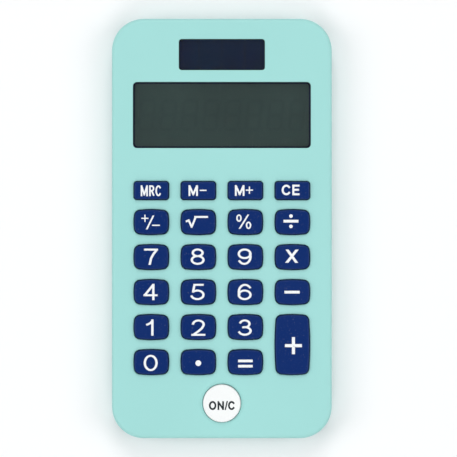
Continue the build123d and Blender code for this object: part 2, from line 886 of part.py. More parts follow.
# ---------------------------------------------------------------- power
def make_power():
    """Solar cell with its window and foam pad, the button cell and its two contacts."""
    make_plate(
        "solar_window",
        0,
        solar_y,
        solar_width + 2 * (solar_window_lip - window_clearance),
        solar_height + 2 * (solar_window_lip - window_clearance),
        front_underside,
        window_thickness,
        solar_corner,
    )
    cell_width = solar_width + 2 * solar_cell_margin
    cell_length = solar_height + 2 * solar_cell_margin
    make_plate(
        "solar_cell", 0, solar_y, cell_width, cell_length, solar_cell_bottom, solar_cell_thickness
    )
    pad_bottom = well_top + solar_pad_gap
    make_plate(
        "solar_cell_pad",
        0,
        solar_y,
        2 * (cell_radius + cell_side_clearance + well_wall),
        cell_length - 2 * solar_pad_inset,
        pad_bottom,
        solar_cell_bottom - pad_bottom,
    )

    with BuildPart() as button_cell:
        can_top = cell_top - cell_cap_height
        upright_cylinders([(0, cell_y)], cell_radius, cell_bottom, can_top)
        fillet(button_cell.edges().group_by(Axis.Z)[0], cell_round)
        upright_cylinders([(0, cell_y)], cell_cap_radius, can_top, cell_top)
        fillet(button_cell.edges().group_by(Axis.Z)[-1], cell_cap_round)
    save(button_cell, "button_cell")

    tail_end = cell_radius + cell_side_clearance + well_wall + leaf_tail
    with BuildPart() as battery_contact_negative:
        rounded_block(
            (leaf_reach - tail_end) / 2,
            cell_y,
            tail_end + leaf_reach,
            leaf_width,
            0,
            leaf_bottom,
            leaf_top,
        )
        upright_cylinders([(0, cell_y)], leaf_dimple, cell_top, leaf_bottom)
    save(battery_contact_negative, "battery_contact_negative")
    with BuildPart() as battery_contact_positive:
        inner_x = cell_radius + leaf_gap / 2
        bend_z = cell_top - cell_cap_height
        rounded_block(
            inner_x + leaf_thickness / 2,
            cell_y,
            leaf_thickness,
            leaf_width,
            0,
            seat_top + leaf_foot_gap,
            bend_z,
        )
        rounded_block(
            (inner_x + tail_end) / 2,
            cell_y,
            tail_end - inner_x,
            leaf_width,
            0,
            bend_z,
            bend_z + leaf_thickness,
        )
    save(battery_contact_positive, "battery_contact_positive")


# ---------------------------------------------------------------- wiring
def make_wiring():
    """Four wires from the solar cell and the battery contacts to the board, and their solder."""
    board_y = pcb_top_y - solder_from_edge
    on_board = pcb_top + wire_radius + wire_gap
    solar_x = solar_width / 2 - solar_solder_inset
    solar_solder_z = solar_cell_bottom - solder_height
    solder_x = cell_radius + cell_side_clearance + well_wall + leaf_tail - solder_radius
    solder_y = cell_y - leaf_width / 2 + solder_radius + leaf_solder_inset
    solar_landing = solar_x + 4.0
    battery_landing = solder_x + 0.6
    positive_tail_z = cell_top - cell_cap_height + leaf_thickness
    tail_levels = {1: positive_tail_z, -1: leaf_top}
    names = {1: "positive", -1: "negative"}

    # Points chosen by hand: out of the solder, under the display panel and down to the board
    for side in (1, -1):
        solar_route = [
            (side * solar_x, solar_y, solar_solder_z + wire_radius),
            (side * (solar_x + 0.2), solar_y - 4.3, panel_bottom - 0.6),
            (side * (solar_x + 1.5), solar_y - 10.0, panel_bottom - 0.75),
            (side * (solar_x + 3.6), (solar_y - 10.0 + board_y) / 2, panel_bottom - 0.85),
            (side * solar_landing, board_y, on_board),
        ]
        make_wire(f"solar_wire_{names[side]}", solar_route)
        tail_z = tail_levels[side] + wire_radius
        battery_route = [
            (side * solder_x, solder_y, tail_z),
            (side * (solder_x + 0.4), solder_y - 6.2, tail_z - 0.15),
            (side * (solder_x + 0.9), (solder_y - 6.2 + board_y) / 2, tail_z - 0.3),
            (side * battery_landing, board_y, on_board),
        ]
        make_wire(f"battery_wire_{names[side]}", battery_route)

    with BuildPart() as solder_joints:
        landings = [
            (side * x, board_y) for side in (-1, 1) for x in (solar_landing, battery_landing)
        ]
        upright_cylinders(landings, solder_radius, pcb_top, pcb_top + solder_height)
        cell_points = [(-solar_x, solar_y), (solar_x, solar_y)]
        upright_cylinders(cell_points, solder_radius, solar_solder_z, solar_cell_bottom)
        for side in (1, -1):
            tail_z = tail_levels[side]
            upright_cylinders(
                [(side * solder_x, solder_y)], solder_radius, tail_z, tail_z + solder_height
            )
    save(solder_joints, "solder_joints")


os.makedirs("parts", exist_ok=True)
make_front_case()
make_rear_case()
make_battery_door()
make_screws()
make_feet()
for key in keys:
    make_key(key)
make_dome_sheet()
make_circuit_board()
make_display()
make_power()
make_wiring()
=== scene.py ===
import math

import bmesh
import bpy
from bpy.props import FloatProperty, FloatVectorProperty, IntProperty, PointerProperty
from bpy.types import Operator, Panel, PropertyGroup
from mathutils import Matrix, Vector
from mathutils.bvhtree import BVHTree


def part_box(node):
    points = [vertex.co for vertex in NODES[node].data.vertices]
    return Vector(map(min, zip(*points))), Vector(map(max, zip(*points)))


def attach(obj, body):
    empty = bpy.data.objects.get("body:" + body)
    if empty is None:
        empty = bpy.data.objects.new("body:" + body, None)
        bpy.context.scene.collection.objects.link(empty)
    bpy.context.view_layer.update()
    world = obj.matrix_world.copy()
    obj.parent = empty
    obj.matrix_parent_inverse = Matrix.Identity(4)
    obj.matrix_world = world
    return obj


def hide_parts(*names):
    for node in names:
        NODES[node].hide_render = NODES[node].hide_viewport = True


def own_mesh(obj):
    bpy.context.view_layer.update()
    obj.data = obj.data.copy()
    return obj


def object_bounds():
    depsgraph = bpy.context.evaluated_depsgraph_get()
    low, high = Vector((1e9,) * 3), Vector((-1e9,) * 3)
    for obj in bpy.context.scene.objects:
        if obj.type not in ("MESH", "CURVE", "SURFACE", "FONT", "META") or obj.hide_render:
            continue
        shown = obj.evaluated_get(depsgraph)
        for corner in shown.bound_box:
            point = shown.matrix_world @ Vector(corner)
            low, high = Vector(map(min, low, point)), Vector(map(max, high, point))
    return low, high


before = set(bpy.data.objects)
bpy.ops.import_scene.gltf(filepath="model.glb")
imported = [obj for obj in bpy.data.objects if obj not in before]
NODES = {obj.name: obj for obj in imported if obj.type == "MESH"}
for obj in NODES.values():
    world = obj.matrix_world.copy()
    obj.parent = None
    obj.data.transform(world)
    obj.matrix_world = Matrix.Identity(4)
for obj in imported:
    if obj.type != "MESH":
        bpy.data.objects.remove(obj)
CASE_BODY = "calculator_case"
CAD_LOW, CAD_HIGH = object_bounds()

bl_info = {
    "name": "Handheld calculator finishes",
    "version": (1, 0, 0),
    "blender": (4, 5, 0),
    "location": "View3D > Sidebar > Calculator",
    "description": "Prints, windows, plastics and a studio stage for a handheld solar calculator",
    "category": "Object",
}

MM = 0.001
NOISE_LOW, NOISE_HIGH = 0.3, 0.7  # range that a noise mostly stays in
BORDER_THICKNESS = 0.02 * MM
BORDER_CORNER = 0.8 * MM
PRINT_GAP = 0.01 * MM  # under the window
PRINT_MARGIN = 0.1 * MM  # both unprinted edges of a window together
DISPLAY_LIP = 1.05 * MM  # print of the display window that the case hides
SOLAR_LIP = 0.85 * MM
# width of the painted shadow inside the solar window
SOLAR_SHADOW_BAND = 0.12 * MM
SEGMENT_THICKNESS = 0.01 * MM
FILM_GAP = 0.004 * MM  # from the film to the segments on it
DIGIT_WIDTH = 0.52  # shares of a display digit's height
BAR_WIDTH = 0.11
DIGIT_PITCH = 1.28  # share of a digit's width
DIGIT_SLANT = math.radians(6.0)
LABEL_SIZE = (29.4 * MM, 14.4 * MM)
LABEL_CORNER = 1.3 * MM
LABEL_THICKNESS = 0.1 * MM
LABEL_SEAT = 0.04 * MM  # how far its lower face lies in the recess
FRAME_INSET = 0.9 * MM  # printed frame from the label's edge
FRAME_LINE = 0.25 * MM
INK_ROLL = 0.25 * MM  # part of a stroke's round section that shapes its edge
INK_RISE = 0.4  # middle of the print above the key, as a share of half its height
CROWN_GAP = 0.01 * MM  # between a dome's crown and its wall
PILL_BOND = 0.02 * MM  # pill sunk in the crown
KEY_NODES = sorted(name for name in NODES if name.startswith("key_"))
FACE_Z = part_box("front_case")[1].z


# ---------------------------------------------------------------- settings
def colour(name, description, value):
    return FloatVectorProperty(
        name=name, description=description, default=value, subtype="COLOR", size=3, min=0.0, max=1.0
    )


def length(name, description, value):
    return FloatProperty(name=name, description=description, default=value, unit="LENGTH", min=0.0)


class CalculatorPlastics(PropertyGroup):
    """Colours and surface of the moulded parts."""

    case: colour("Case", "Mint of the two case shells and the battery door", (0.352, 0.7, 0.668))
    keys: colour("Keys", "Navy of the key caps", (0.0015, 0.0225, 0.142))
    clear_key: colour("On/clear key", "White of the round key", (0.9, 0.92, 0.915))
    grain_size: length("Grain", "Spacing of the fine moulded texture", 0.00028)
    grain_depth: length("Grain depth", "Height of the fine moulded texture", 0.000006)


class CalculatorPrint(PropertyGroup):
    """Ink of the key legends."""

    light_ink: colour("Light ink", "Legends on the navy keys", (0.9, 0.92, 0.93))
    dark_ink: colour("Dark ink", "Legend on the white key", (0.008, 0.016, 0.022))
    ink_thickness: length("Ink thickness", "Height of the printed ink", 0.00003)
    digit_stretch: FloatProperty(
        name="Digit stretch", description="How much wider than tall digits are drawn", default=1.2
    )


class CalculatorDisplay(PropertyGroup):
    """Display panel and the dark borders behind the windows: print, with a band inside the opening
    that is painted shadow of the recess.
    """

    film: colour("Film", "Grey-green of the unlit display", (0.066, 0.112, 0.106))
    segments: colour("Segments", "Unlit, barely darker than the film", (0.061, 0.104, 0.0995))
    # dark band of the display window: print, its visible part also a painted shadow of the recess
    border_shade: colour("Border", "Printed border of the windows", (0.001, 0.006, 0.045))
    border_width: length("Border width", "Printed border inside the window opening", 0.00042)
    digits: IntProperty(name="Digits", description="Digits in the display", default=8, min=1)
    digit_height: length("Digit height", "Height of a display digit", 0.0088)


class CalculatorDomes(PropertyGroup):
    """Rubber domes under the keys."""

    web_thickness: length("Web thickness", "Flat sheet between the domes", 0.0005)
    foot_radius: length("Foot radius", "Dome's radius where it meets the sheet", 0.0034)
    crown_radius: length("Crown radius", "Radius of the flat top", 0.002)
    skin: length("Skin", "Wall of the dome, measured across", 0.00035)
    pill_radius: length("Pill radius", "Radius of the carbon pill", 0.0014)
    pill_thickness: length("Pill thickness", "Height of the carbon pill", 0.00023)
    pressed_share: FloatProperty(
        name="Pressed share", description="Height a wall keeps under a pressed key", default=0.3
    )


class CalculatorStage(PropertyGroup):
    """Floor, light and camera."""

    floor: colour("Floor", "Pale floor", (0.93, 0.935, 0.94))
    camera_distance: length("Camera distance", "From the camera to the key side", 0.9)
    field: length("Field", "Width of the picture at the key side", 0.12464)
    off_centre: length("Off centre", "How far right of the middle the camera stands", 0.00181)
    panel_size: length("Panel size", "Side of each soft panel", 0.9)
    panel_distance: length("Panel distance", "From the floor's middle to a panel, in plan", 1.05)
    panel_height: length("Panel height", "From the floor to the middle of a panel", 1.15)
    panel_power: FloatProperty(name="Panel power", description="Watts of a soft panel", default=6.5)
    ambient: FloatProperty(name="Ambient", description="Brightness of the walls", default=0.36)
    mirrored: FloatProperty(
        name="Mirrored", description="Brightness of the walls in glossy reflections", default=0.1
    )


# ---------------------------------------------------------------- node helpers
def put(tree, kind, settings=None, **inputs):
    """Adds a node, sets its properties and the defaults of its sockets."""
    node = tree.nodes.new("ShaderNode" + kind)
    for name, value in (settings or {}).items():
        setattr(node, name, value)
    for name, value in inputs.items():
        node.inputs[name.replace("_", " ")].default_value = value
    return node


def wire(tree, source, socket, target, entry):
    tree.links.new(source.outputs[socket], target.inputs[entry])


def mix(tree, factor, first, second):
    """Mixes two colours; each argument is a node's output or a plain value."""
    node = put(tree, "Mix", {"data_type": "RGBA"})
    for value, entry in ((factor, 0), (first, 6), (second, 7)):
        if isinstance(value, bpy.types.NodeSocket):
            tree.links.new(value, node.inputs[entry])
        elif isinstance(value, float):
            node.inputs[entry].default_value = value
        else:
            node.inputs[entry].default_value = (*value, 1.0)
    return node.outputs[2]


def calculate(tree, operation, first, second=0.5):
    node = put(tree, "Math", {"operation": operation})
    for value, entry in ((first, 0), (second, 1)):
        if isinstance(value, bpy.types.NodeSocket):
            tree.links.new(value, node.inputs[entry])
        else:
            node.inputs[entry].default_value = value
    return node.outputs[0]


def remap(tree, value, low, high, to_low=0.0, to_high=1.0):
    node = put(tree, "MapRange", From_Min=low, From_Max=high, To_Min=to_low, To_Max=to_high)
    tree.links.new(value, node.inputs["Value"])
    return node.outputs[0]


def object_coordinates(tree, scale=(1.0, 1.0, 1.0)):
    """Object coordinates, stretched by a Mapping node."""
    place = put(tree, "TexCoord")
    mapping = put(tree, "Mapping", Scale=scale)
    wire(tree, place, "Object", mapping, "Vector")
    return mapping.outputs[0]


def position(tree):
    """The three Object coordinates as single values."""
    parts = put(tree, "SeparateXYZ")
    tree.links.new(object_coordinates(tree), parts.inputs[0])
    return parts.outputs


def noise(tree, scale, detail=3.0, vector=None):
    node = put(tree, "TexNoise", Scale=scale, Detail=detail)
    tree.links.new(vector or object_coordinates(tree), node.inputs["Vector"])
    return node.outputs["Fac"]


def new_group(name, inputs, outputs):
    """An empty shader node group with its named sockets, and its input and output nodes."""
    tree = bpy.data.node_groups.new(name, "ShaderNodeTree")
    for label, kind, value in inputs:
        socket = tree.interface.new_socket(label, in_out="INPUT", socket_type=kind)
        socket.default_value = value
    for label, kind in outputs:
        tree.interface.new_socket(label, in_out="OUTPUT", socket_type=kind)
    return tree, tree.nodes.new("NodeGroupInput"), tree.nodes.new("NodeGroupOutput")


def moulded_grain():
    """Fine spark-eroded texture: a height for the bump and a tone for the gloss."""
    tree, given, result = new_group(
        "moulded_grain",
        [("Spacing", "NodeSocketFloat", 0.0003)],
        [("Height", "NodeSocketFloat"), ("Tone", "NodeSocketFloat")],
    )
    scale = calculate(tree, "DIVIDE", 1.0, given.outputs["Spacing"])
    vector = object_coordinates(tree)
    fine = put(tree, "TexNoise", Detail=2.0)
    cells = put(tree, "TexVoronoi", {"feature": "SMOOTH_F1"})
    for node in (fine, cells):
        tree.links.new(vector, node.inputs["Vector"])
        tree.links.new(scale, node.inputs["Scale"])
    blend = calculate(tree, "MULTIPLY", fine.outputs["Fac"], cells.outputs["Distance"])
    tree.links.new(remap(tree, blend, 0.05, 0.5), result.inputs["Height"])
    tree.links.new(noise(tree, 60.0), result.inputs["Tone"])
    return tree


def edge_wear_and_highlight():
    """A mask of edges, for rubbed wear and a painted highlight: where a rounded normal leaves the
    true one, broken up by noise.
    """
    tree, given, result = new_group(
        "edge_wear_and_highlight",
        [("Radius", "NodeSocketFloat", 0.0003), ("Breakup", "NodeSocketFloat", 900.0)],
        [("Mask", "NodeSocketFloat")],
    )
    rounded = put(tree, "Bevel", {"samples": 4})
    wire(tree, given, "Radius", rounded, "Radius")
    true = put(tree, "NewGeometry")
    compare = put(tree, "VectorMath", {"operation": "DOT_PRODUCT"})
    wire(tree, rounded, "Normal", compare, 0)
    wire(tree, true, "Normal", compare, 1)
    edge = remap(tree, compare.outputs["Value"], 0.995, 0.8)
    breakup = put(tree, "TexNoise", Detail=3.0)
    tree.links.new(object_coordinates(tree), breakup.inputs["Vector"])
    wire(tree, given, "Breakup", breakup, "Scale")
    patches = remap(tree, breakup.outputs["Fac"], 0.35, 0.7)
    tree.links.new(calculate(tree, "MULTIPLY", edge, patches), result.inputs["Mask"])
    return tree


def tone_drift():
    """Slow, faint change of a colour over a surface, as moulding and handling leave it."""
    tree, given, result = new_group(
        "tone_drift",
        [
            ("Color", "NodeSocketColor", (0.5, 0.5, 0.5, 1.0)),
            ("Amount", "NodeSocketFloat", 0.05),
            ("Scale", "NodeSocketFloat", 40.0),
        ],
        [("Color", "NodeSocketColor")],
    )
    slow = put(tree, "TexNoise", Detail=4.0)
    tree.links.new(object_coordinates(tree), slow.inputs["Vector"])
    wire(tree, given, "Scale", slow, "Scale")
    centred = calculate(tree, "SUBTRACT", slow.outputs["Fac"], 0.5)
    swing = calculate(tree, "MULTIPLY", centred, given.outputs["Amount"])
    value = calculate(tree, "ADD", swing, 1.0)
    shift = put(tree, "HueSaturation")
    wire(tree, given, "Color", shift, "Color")
    tree.links.new(value, shift.inputs["Value"])
    wire(tree, shift, "Color", result, "Color")
    return tree


def settled_dust():
    """A thin mask of specks on faces that look up."""
    tree, given, result = new_group(
        "settled_dust",
        [("Amount", "NodeSocketFloat", 0.1)],
        [("Mask", "NodeSocketFloat")],
    )
    facing = put(tree, "NewGeometry")
    parts = put(tree, "SeparateXYZ")
    wire(tree, facing, "Normal", parts, "Vector")
    upward = remap(tree, parts.outputs["Z"], 0.6, 1.0)
    specks = remap(tree, noise(tree, 2600.0, 1.0), 0.66, 0.8)
    mask = calculate(tree, "MULTIPLY", upward, specks)
    tree.links.new(
        calculate(tree, "MULTIPLY", mask, given.outputs["Amount"]), result.inputs["Mask"]
    )
    return tree


GROUP_MAKERS = {
    "moulded_grain": moulded_grain,
    "edge_wear_and_highlight": edge_wear_and_highlight,
    "tone_drift": tone_drift,
    "settled_dust": settled_dust,
}


def use_group(tree, name, **inputs):
    """Places a shared node group, which is built the first time it is wanted."""
    node = put(tree, "Group")
    node.node_tree = bpy.data.node_groups.get(name) or GROUP_MAKERS[name]()
    for label, value in inputs.items():
        node.inputs[label].default_value = value
    return node


def new_material(name, shader_values):
    """A material with one Principled shader; returns it, its tree and the shader."""
    material = bpy.data.materials.new(name)
    material.use_nodes = True
    tree = material.node_tree
    shader = tree.nodes["Principled BSDF"]
    for label, value in shader_values.items():
        shader.inputs[label].default_value = value
    return material, tree, shader


def add_bump(tree, shader, height, depth, strength=1.0):
    bump = put(tree, "Bump", Strength=strength, Distance=depth)
    tree.links.new(height, bump.inputs["Height"])
    wire(tree, bump, "Normal", shader, "Normal")


def paint(tree, shader, tint):
    tree.links.new(tint, shader.inputs["Base Color"])


def roughen(tree, shader, pattern, smoothest, roughest):
    """Lets a pattern move the roughness between two values."""
    value = remap(tree, pattern, NOISE_LOW, NOISE_HIGH, smoothest, roughest)
    tree.links.new(value, shader.inputs["Roughness"])


def dress(material, *names):
    """Puts a material in every slot of the named parts."""
    for name in names:
        for slot in NODES[name].material_slots:
            slot.material = material


# ---------------------------------------------------------------- finishes
def moulded_plastic(
    name, base, gloss=0.42, wear_and_highlight=0.35, worn_and_highlit=None, grain=None, drift=0.05, sheen=0.35
):
    """Textured ABS: drifting colour, fine grain, edges lighter from rubbing and a painted
    highlight, and a little dust.
    """
    plastics = bpy.context.scene.calculator_plastics
    material, tree, shader = new_material(name, {"IOR": 1.53, "Specular IOR Level": sheen})
    tone = use_group(tree, "tone_drift", Color=(*base, 1.0), Amount=drift, Scale=35.0)
    rubbed_and_highlit = use_group(tree, "edge_wear_and_highlight", Radius=0.25 * MM, Breakup=1200.0)
    dust = use_group(tree, "settled_dust", Amount=0.1)
    texture = use_group(tree, "moulded_grain", Spacing=grain or plastics.grain_size)
    # edges lightened: partly rubbed wear, partly a painted highlight on the rounded rims
    worn_and_highlit_tint = worn_and_highlit or tuple(min(1.0, channel * 1.25 + 0.02) for channel in base)
    rub_and_highlight = calculate(tree, "MULTIPLY", rubbed_and_highlit.outputs["Mask"], wear_and_highlight)
    coloured = mix(tree, rub_and_highlight, tone.outputs["Color"], worn_and_highlit_tint)
    dusty = mix(tree, dust.outputs["Mask"], coloured, (0.6, 0.58, 0.55))
    paint(tree, shader, dusty)
    matt = texture.outputs["Tone"]
    rough = remap(tree, matt, NOISE_LOW, NOISE_HIGH, gloss - 0.04, gloss + 0.05)
    polished = calculate(tree, "SUBTRACT", rough, calculate(tree, "MULTIPLY", rub_and_highlight, 0.2))
    tree.links.new(polished, shader.inputs["Roughness"])
    add_bump(tree, shader, texture.outputs["Height"], plastics.grain_depth, 0.6)
    return material


def clear_acrylic():
    """Clear moulded window with faint hairlines in its gloss."""
    material, tree, shader = new_material(
        "clear_acrylic",
        {"Base Color": (0.97, 0.985, 0.98, 1.0), "Transmission Weight": 1.0, "IOR": 1.49},
    )
    hairlines = noise(tree, 900.0, 2.0, object_coordinates(tree, (1.0, 0.06, 1.0)))
    tree.links.new(remap(tree, hairlines, 0.45, 0.75, 0.015, 0.06), shader.inputs["Roughness"])
    return material


def panel_glass():
    """Thin display glass, slightly green, with a soft gloss change."""
    material, tree, shader = new_material(
        "panel_glass",
        {"Base Color": (0.86, 0.93, 0.9, 1.0), "Transmission Weight": 1.0, "IOR": 1.52},
    )
    roughen(tree, shader, noise(tree, 120.0), 0.02, 0.05)
    return material


def display_film(name, base, gloss=0.38):
    """Polarising film: a slow cloudy tone and a fine drawn grain along its length."""
    material, tree, shader = new_material(name, {"IOR": 1.45, "Specular IOR Level": 0.3})
    tone = use_group(tree, "tone_drift", Color=(*base, 1.0), Amount=0.35, Scale=70.0)
    drawn = noise(tree, 1500.0, 2.0, object_coordinates(tree, (0.04, 1.0, 1.0)))
    grain = remap(tree, drawn, NOISE_LOW, NOISE_HIGH, 0.0, 0.12)
    paint(tree, shader, mix(tree, grain, tone.outputs["Color"], (0.09, 0.11, 0.1)))
    roughen(tree, shader, drawn, gloss - 0.05, gloss + 0.05)
    add_bump(tree, shader, drawn, 0.000002)
    return material


def printed_ink_and_shade(name, base, gloss=0.4):
    """Pad-printed ink, also used for the window borders' painted shadow: slightly uneven cover and
    gloss.
    """
    material, tree, shader = new_material(name, {"IOR": 1.5, "Specular IOR Level": 0.4})
    tone = use_group(tree, "tone_drift", Color=(*base, 1.0), Amount=0.08, Scale=500.0)
    paint(tree, shader, tone.outputs["Color"])
    cover = noise(tree, 3500.0, 2.0)
    roughen(tree, shader, cover, gloss - 0.06, gloss + 0.08)
    add_bump(tree, shader, cover, 0.000002)
    return material


def solar_silicon():
    """Amorphous silicon: four cells, thin lines between them and a rail along both long sides."""
    low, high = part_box("solar_cell")
    cell_pitch = (high.x - low.x) / 4
    material, tree, shader = new_material("solar_silicon", {"IOR": 1.5, "Roughness": 0.16})
    place = position(tree)
    share = calculate(tree, "FRACT", calculate(tree, "DIVIDE", place["X"], cell_pitch))
    from_line = calculate(tree, "ABSOLUTE", calculate(tree, "SUBTRACT", share, 0.5))
    line = remap(tree, from_line, 0.484, 0.492)
    middle, half = (low.y + high.y) / 2, (high.y - low.y) / 2
    across = calculate(tree, "ABSOLUTE", calculate(tree, "SUBTRACT", place["Y"], middle))
    rail = remap(tree, across, half - 0.9 * MM, half - 0.8 * MM)
    tone = use_group(
        tree, "tone_drift", Color=(0.001, 0.034, 0.075, 1.0), Amount=0.5, Scale=90.0
    )
    tinted = mix(tree, noise(tree, 60.0, 1.0), tone.outputs["Color"], (0.014, 0.016, 0.09))
    marked = mix(tree, line, tinted, (0.02, 0.03, 0.048))
    railed = mix(tree, rail, marked, (0.22, 0.22, 0.23))
    paint(tree, shader, railed)
    add_bump(tree, shader, line, 0.00001)
    return material


def plated_metal(name, base, gloss=0.3, stretch=(1.0, 1.0, 12.0), scale=900.0):
    """Nickel-plated steel with drawn or turned marks, brighter at its edges: partly rubbed plating,
    partly a painted highlight.
    """
    material, tree, shader = new_material(name, {"Metallic": 1.0})
    marks = noise(tree, scale, 3.0, object_coordinates(tree, stretch))
    tone = use_group(tree, "tone_drift", Color=(*base, 1.0), Amount=0.25, Scale=300.0)
    rubbed_and_highlit = use_group(tree, "edge_wear_and_highlight", Radius=0.12 * MM, Breakup=2500.0)
    # edges mixed towards bright nickel: rubbed plating and a painted highlight
    bright = mix(tree, rubbed_and_highlit.outputs["Mask"], tone.outputs["Color"], (0.82, 0.82, 0.8))
    paint(tree, shader, bright)
    roughen(tree, shader, marks, gloss - 0.08, gloss + 0.12)
    add_bump(tree, shader, marks, 0.000006)
    return material


def soft_rubber(name, base, gloss=0.7, grain=0.0004, passes_light=0.0):
    """Moulded rubber or silicone with a dusty, grained skin."""
    material, tree, shader = new_material(
        name,
        {"Specular IOR Level": 0.3, "Subsurface Weight": passes_light, "Subsurface Scale": 0.001},
    )
    tone = use_group(tree, "tone_drift", Color=(*base, 1.0), Amount=0.2, Scale=200.0)
    dust = use_group(tree, "settled_dust", Amount=0.4)
    texture = use_group(tree, "moulded_grain", Spacing=grain)
    dusty = mix(tree, dust.outputs["Mask"], tone.outputs["Color"], (0.45, 0.43, 0.4))
    paint(tree, shader, dusty)
    roughen(tree, shader, texture.outputs["Tone"], gloss - 0.08, gloss + 0.1)
    add_bump(tree, shader, texture.outputs["Height"], 0.00002)
    return material


def board_laminate():
    """Phenolic board: tan paper laminate under green resist, with tracks in two directions."""
    material, tree, shader = new_material("board_laminate", {"Roughness": 0.45, "IOR": 1.5})
    wander = noise(tree, 90.0, 0.0)
    place = position(tree)
    bend = calculate(tree, "MULTIPLY", wander, 6.0)
    track_masks = []
    for axis, count in (("X", 620.0), ("Y", 480.0)):
        stripes = calculate(tree, "MULTIPLY", place[axis], count)
        wave = calculate(tree, "SINE", calculate(tree, "ADD", stripes, bend))
        track_masks.append(remap(tree, wave, 0.55, 0.75))
    zone = remap(tree, noise(tree, 55.0, 0.0), 0.48, 0.52)
    tracks = calculate(
        tree,
        "ADD",
        calculate(tree, "MULTIPLY", track_masks[0], zone),
        calculate(tree, "MULTIPLY", track_masks[1], calculate(tree, "SUBTRACT", 1.0, zone)),
    )
    paper = use_group(tree, "tone_drift", Color=(0.34, 0.21, 0.075, 1.0), Amount=0.3, Scale=400.0)
    resist = mix(tree, 0.72, paper.outputs["Color"], (0.012, 0.09, 0.035))
    tracked = mix(tree, tracks, resist, (0.03, 0.17, 0.06))
    paint(tree, shader, tracked)
    add_bump(tree, shader, tracks, 0.00002)
    return material


def zebra_rubber():
    """Connector strip: fine black conducting layers in pale rubber."""
    material, tree, shader = new_material("zebra_rubber", {"Roughness": 0.6})
    place = position(tree)
    layers = calculate(tree, "SINE", calculate(tree, "MULTIPLY", place["X"], 12000.0))
    soft = noise(tree, 400.0)
    pale = mix(tree, soft, (0.7, 0.69, 0.66), (0.8, 0.79, 0.75))
    paint(tree, shader, mix(tree, remap(tree, layers, -0.1, 0.1), pale, (0.02, 0.02, 0.02)))
    return material


def wire_insulation(name, base):
    """Extruded PVC with a faint flow along it."""
    material, tree, shader = new_material(name, {"IOR": 1.5})
    tone = use_group(tree, "tone_drift", Color=(*base, 1.0), Amount=0.3, Scale=600.0)
    paint(tree, shader, tone.outputs["Color"])
    flow = noise(tree, 1400.0, 2.0, object_coordinates(tree, (1.0, 0.1, 1.0)))
    roughen(tree, shader, flow, 0.28, 0.42)
    return material


def label_foil():
    """Blank silver label: a fine brushed face with a thin printed frame inside its edge."""
    material, tree, shader = new_material("label_foil", {"Metallic": 0.85})
    brushed = noise(tree, 1800.0, 2.0, object_coordinates(tree, (0.03, 1.0, 1.0)))
    tone = use_group(tree, "tone_drift", Color=(0.62, 0.63, 0.64, 1.0), Amount=0.12, Scale=90.0)
    streaked = mix(
        tree, remap(tree, brushed, 0.35, 0.65, 0.0, 0.3), tone.outputs["Color"], (0.4, 0.41, 0.42)
    )
    place = position(tree)
    past = []
    for axis, size in zip("XY", LABEL_SIZE):
        from_middle = calculate(tree, "ABSOLUTE", place[axis])
        past.append(calculate(tree, "SUBTRACT", from_middle, size / 2 - FRAME_INSET))
    to_frame = calculate(tree, "ABSOLUTE", calculate(tree, "MAXIMUM", *past))
    line = remap(tree, to_frame, FRAME_LINE * 0.6, FRAME_LINE * 0.4)
    paint(tree, shader, mix(tree, line, streaked, (0.03, 0.035, 0.04)))
    roughen(tree, shader, brushed, 0.28, 0.42)
    return material


# ---------------------------------------------------------------- mesh helpers
def middle_of(node, height=0.0):
    """A point at the given height above the middle of a part's outline."""
    low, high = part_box(node)
    return Vector(((low.x + high.x) / 2, (low.y + high.y) / 2, height))


def finish_mesh(bm, name, material, body):
    """Turns a bmesh into a piece that rides on a body, with outward faces."""
    bmesh.ops.remove_doubles(bm, verts=bm.verts, dist=1e-7)
    bmesh.ops.recalc_face_normals(bm, faces=bm.faces)
    mesh = bpy.data.meshes.new(name)
    bm.to_mesh(mesh)
    bm.free()
    mesh.materials.append(material)
    piece = bpy.data.objects.new(name, mesh)
    bpy.context.scene.collection.objects.link(piece)
    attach(piece, body)
    return piece


def flat_rectangle(bm, centre, width, height):
    """One face with its middle at the centre; returns its corners."""
    corners = bmesh.ops.create_grid(bm, x_segments=1, y_segments=1, size=0.5)["verts"]
    bmesh.ops.scale(bm, vec=(width, height, 1.0), verts=corners)
    bmesh.ops.translate(bm, vec=centre, verts=corners)
    return corners


def round_corners(bm, corners, radius):
    bmesh.ops.bevel(
        bm,
        geom=corners,
        offset=radius,
        offset_type="OFFSET",
        affect="VERTICES",
        segments=8,
        profile=0.5,
        material=-1,
    )


def thicken(bm, thickness):
    """Raises a copy of all faces by the thickness, with walls between."""
    made = bmesh.ops.extrude_face_region(bm, geom=bm.faces[:])
    top = [item for item in made["geom"] if isinstance(item, bmesh.types.BMVert)]
    bmesh.ops.translate(bm, vec=(0.0, 0.0, thickness), verts=top)


def border_print_and_shade(name, window, lip, inside, material):
    """A dark sheet on a window's back: its lip under the case is print, and its line inside the
    opening is painted shadow of the recess.
    """
    low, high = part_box(window)
    bm = bmesh.new()
    width, height = high.x - low.x, high.y - low.y
    centre = middle_of(window, low.z - BORDER_THICKNESS - PRINT_GAP)
    flat_rectangle(bm, centre, width - PRINT_MARGIN, height - PRINT_MARGIN)
    sheet = bm.faces[:]
    bmesh.ops.inset_region(
        bm, faces=sheet, thickness=lip + inside, use_boundary=True, use_even_offset=True
    )
    rim = list(sheet[0].verts)
    bmesh.ops.delete(bm, geom=sheet, context="FACES_ONLY")
    round_corners(bm, rim, BORDER_CORNER)
    thicken(bm, BORDER_THICKNESS)
    return finish_mesh(bm, name, material, CASE_BODY)


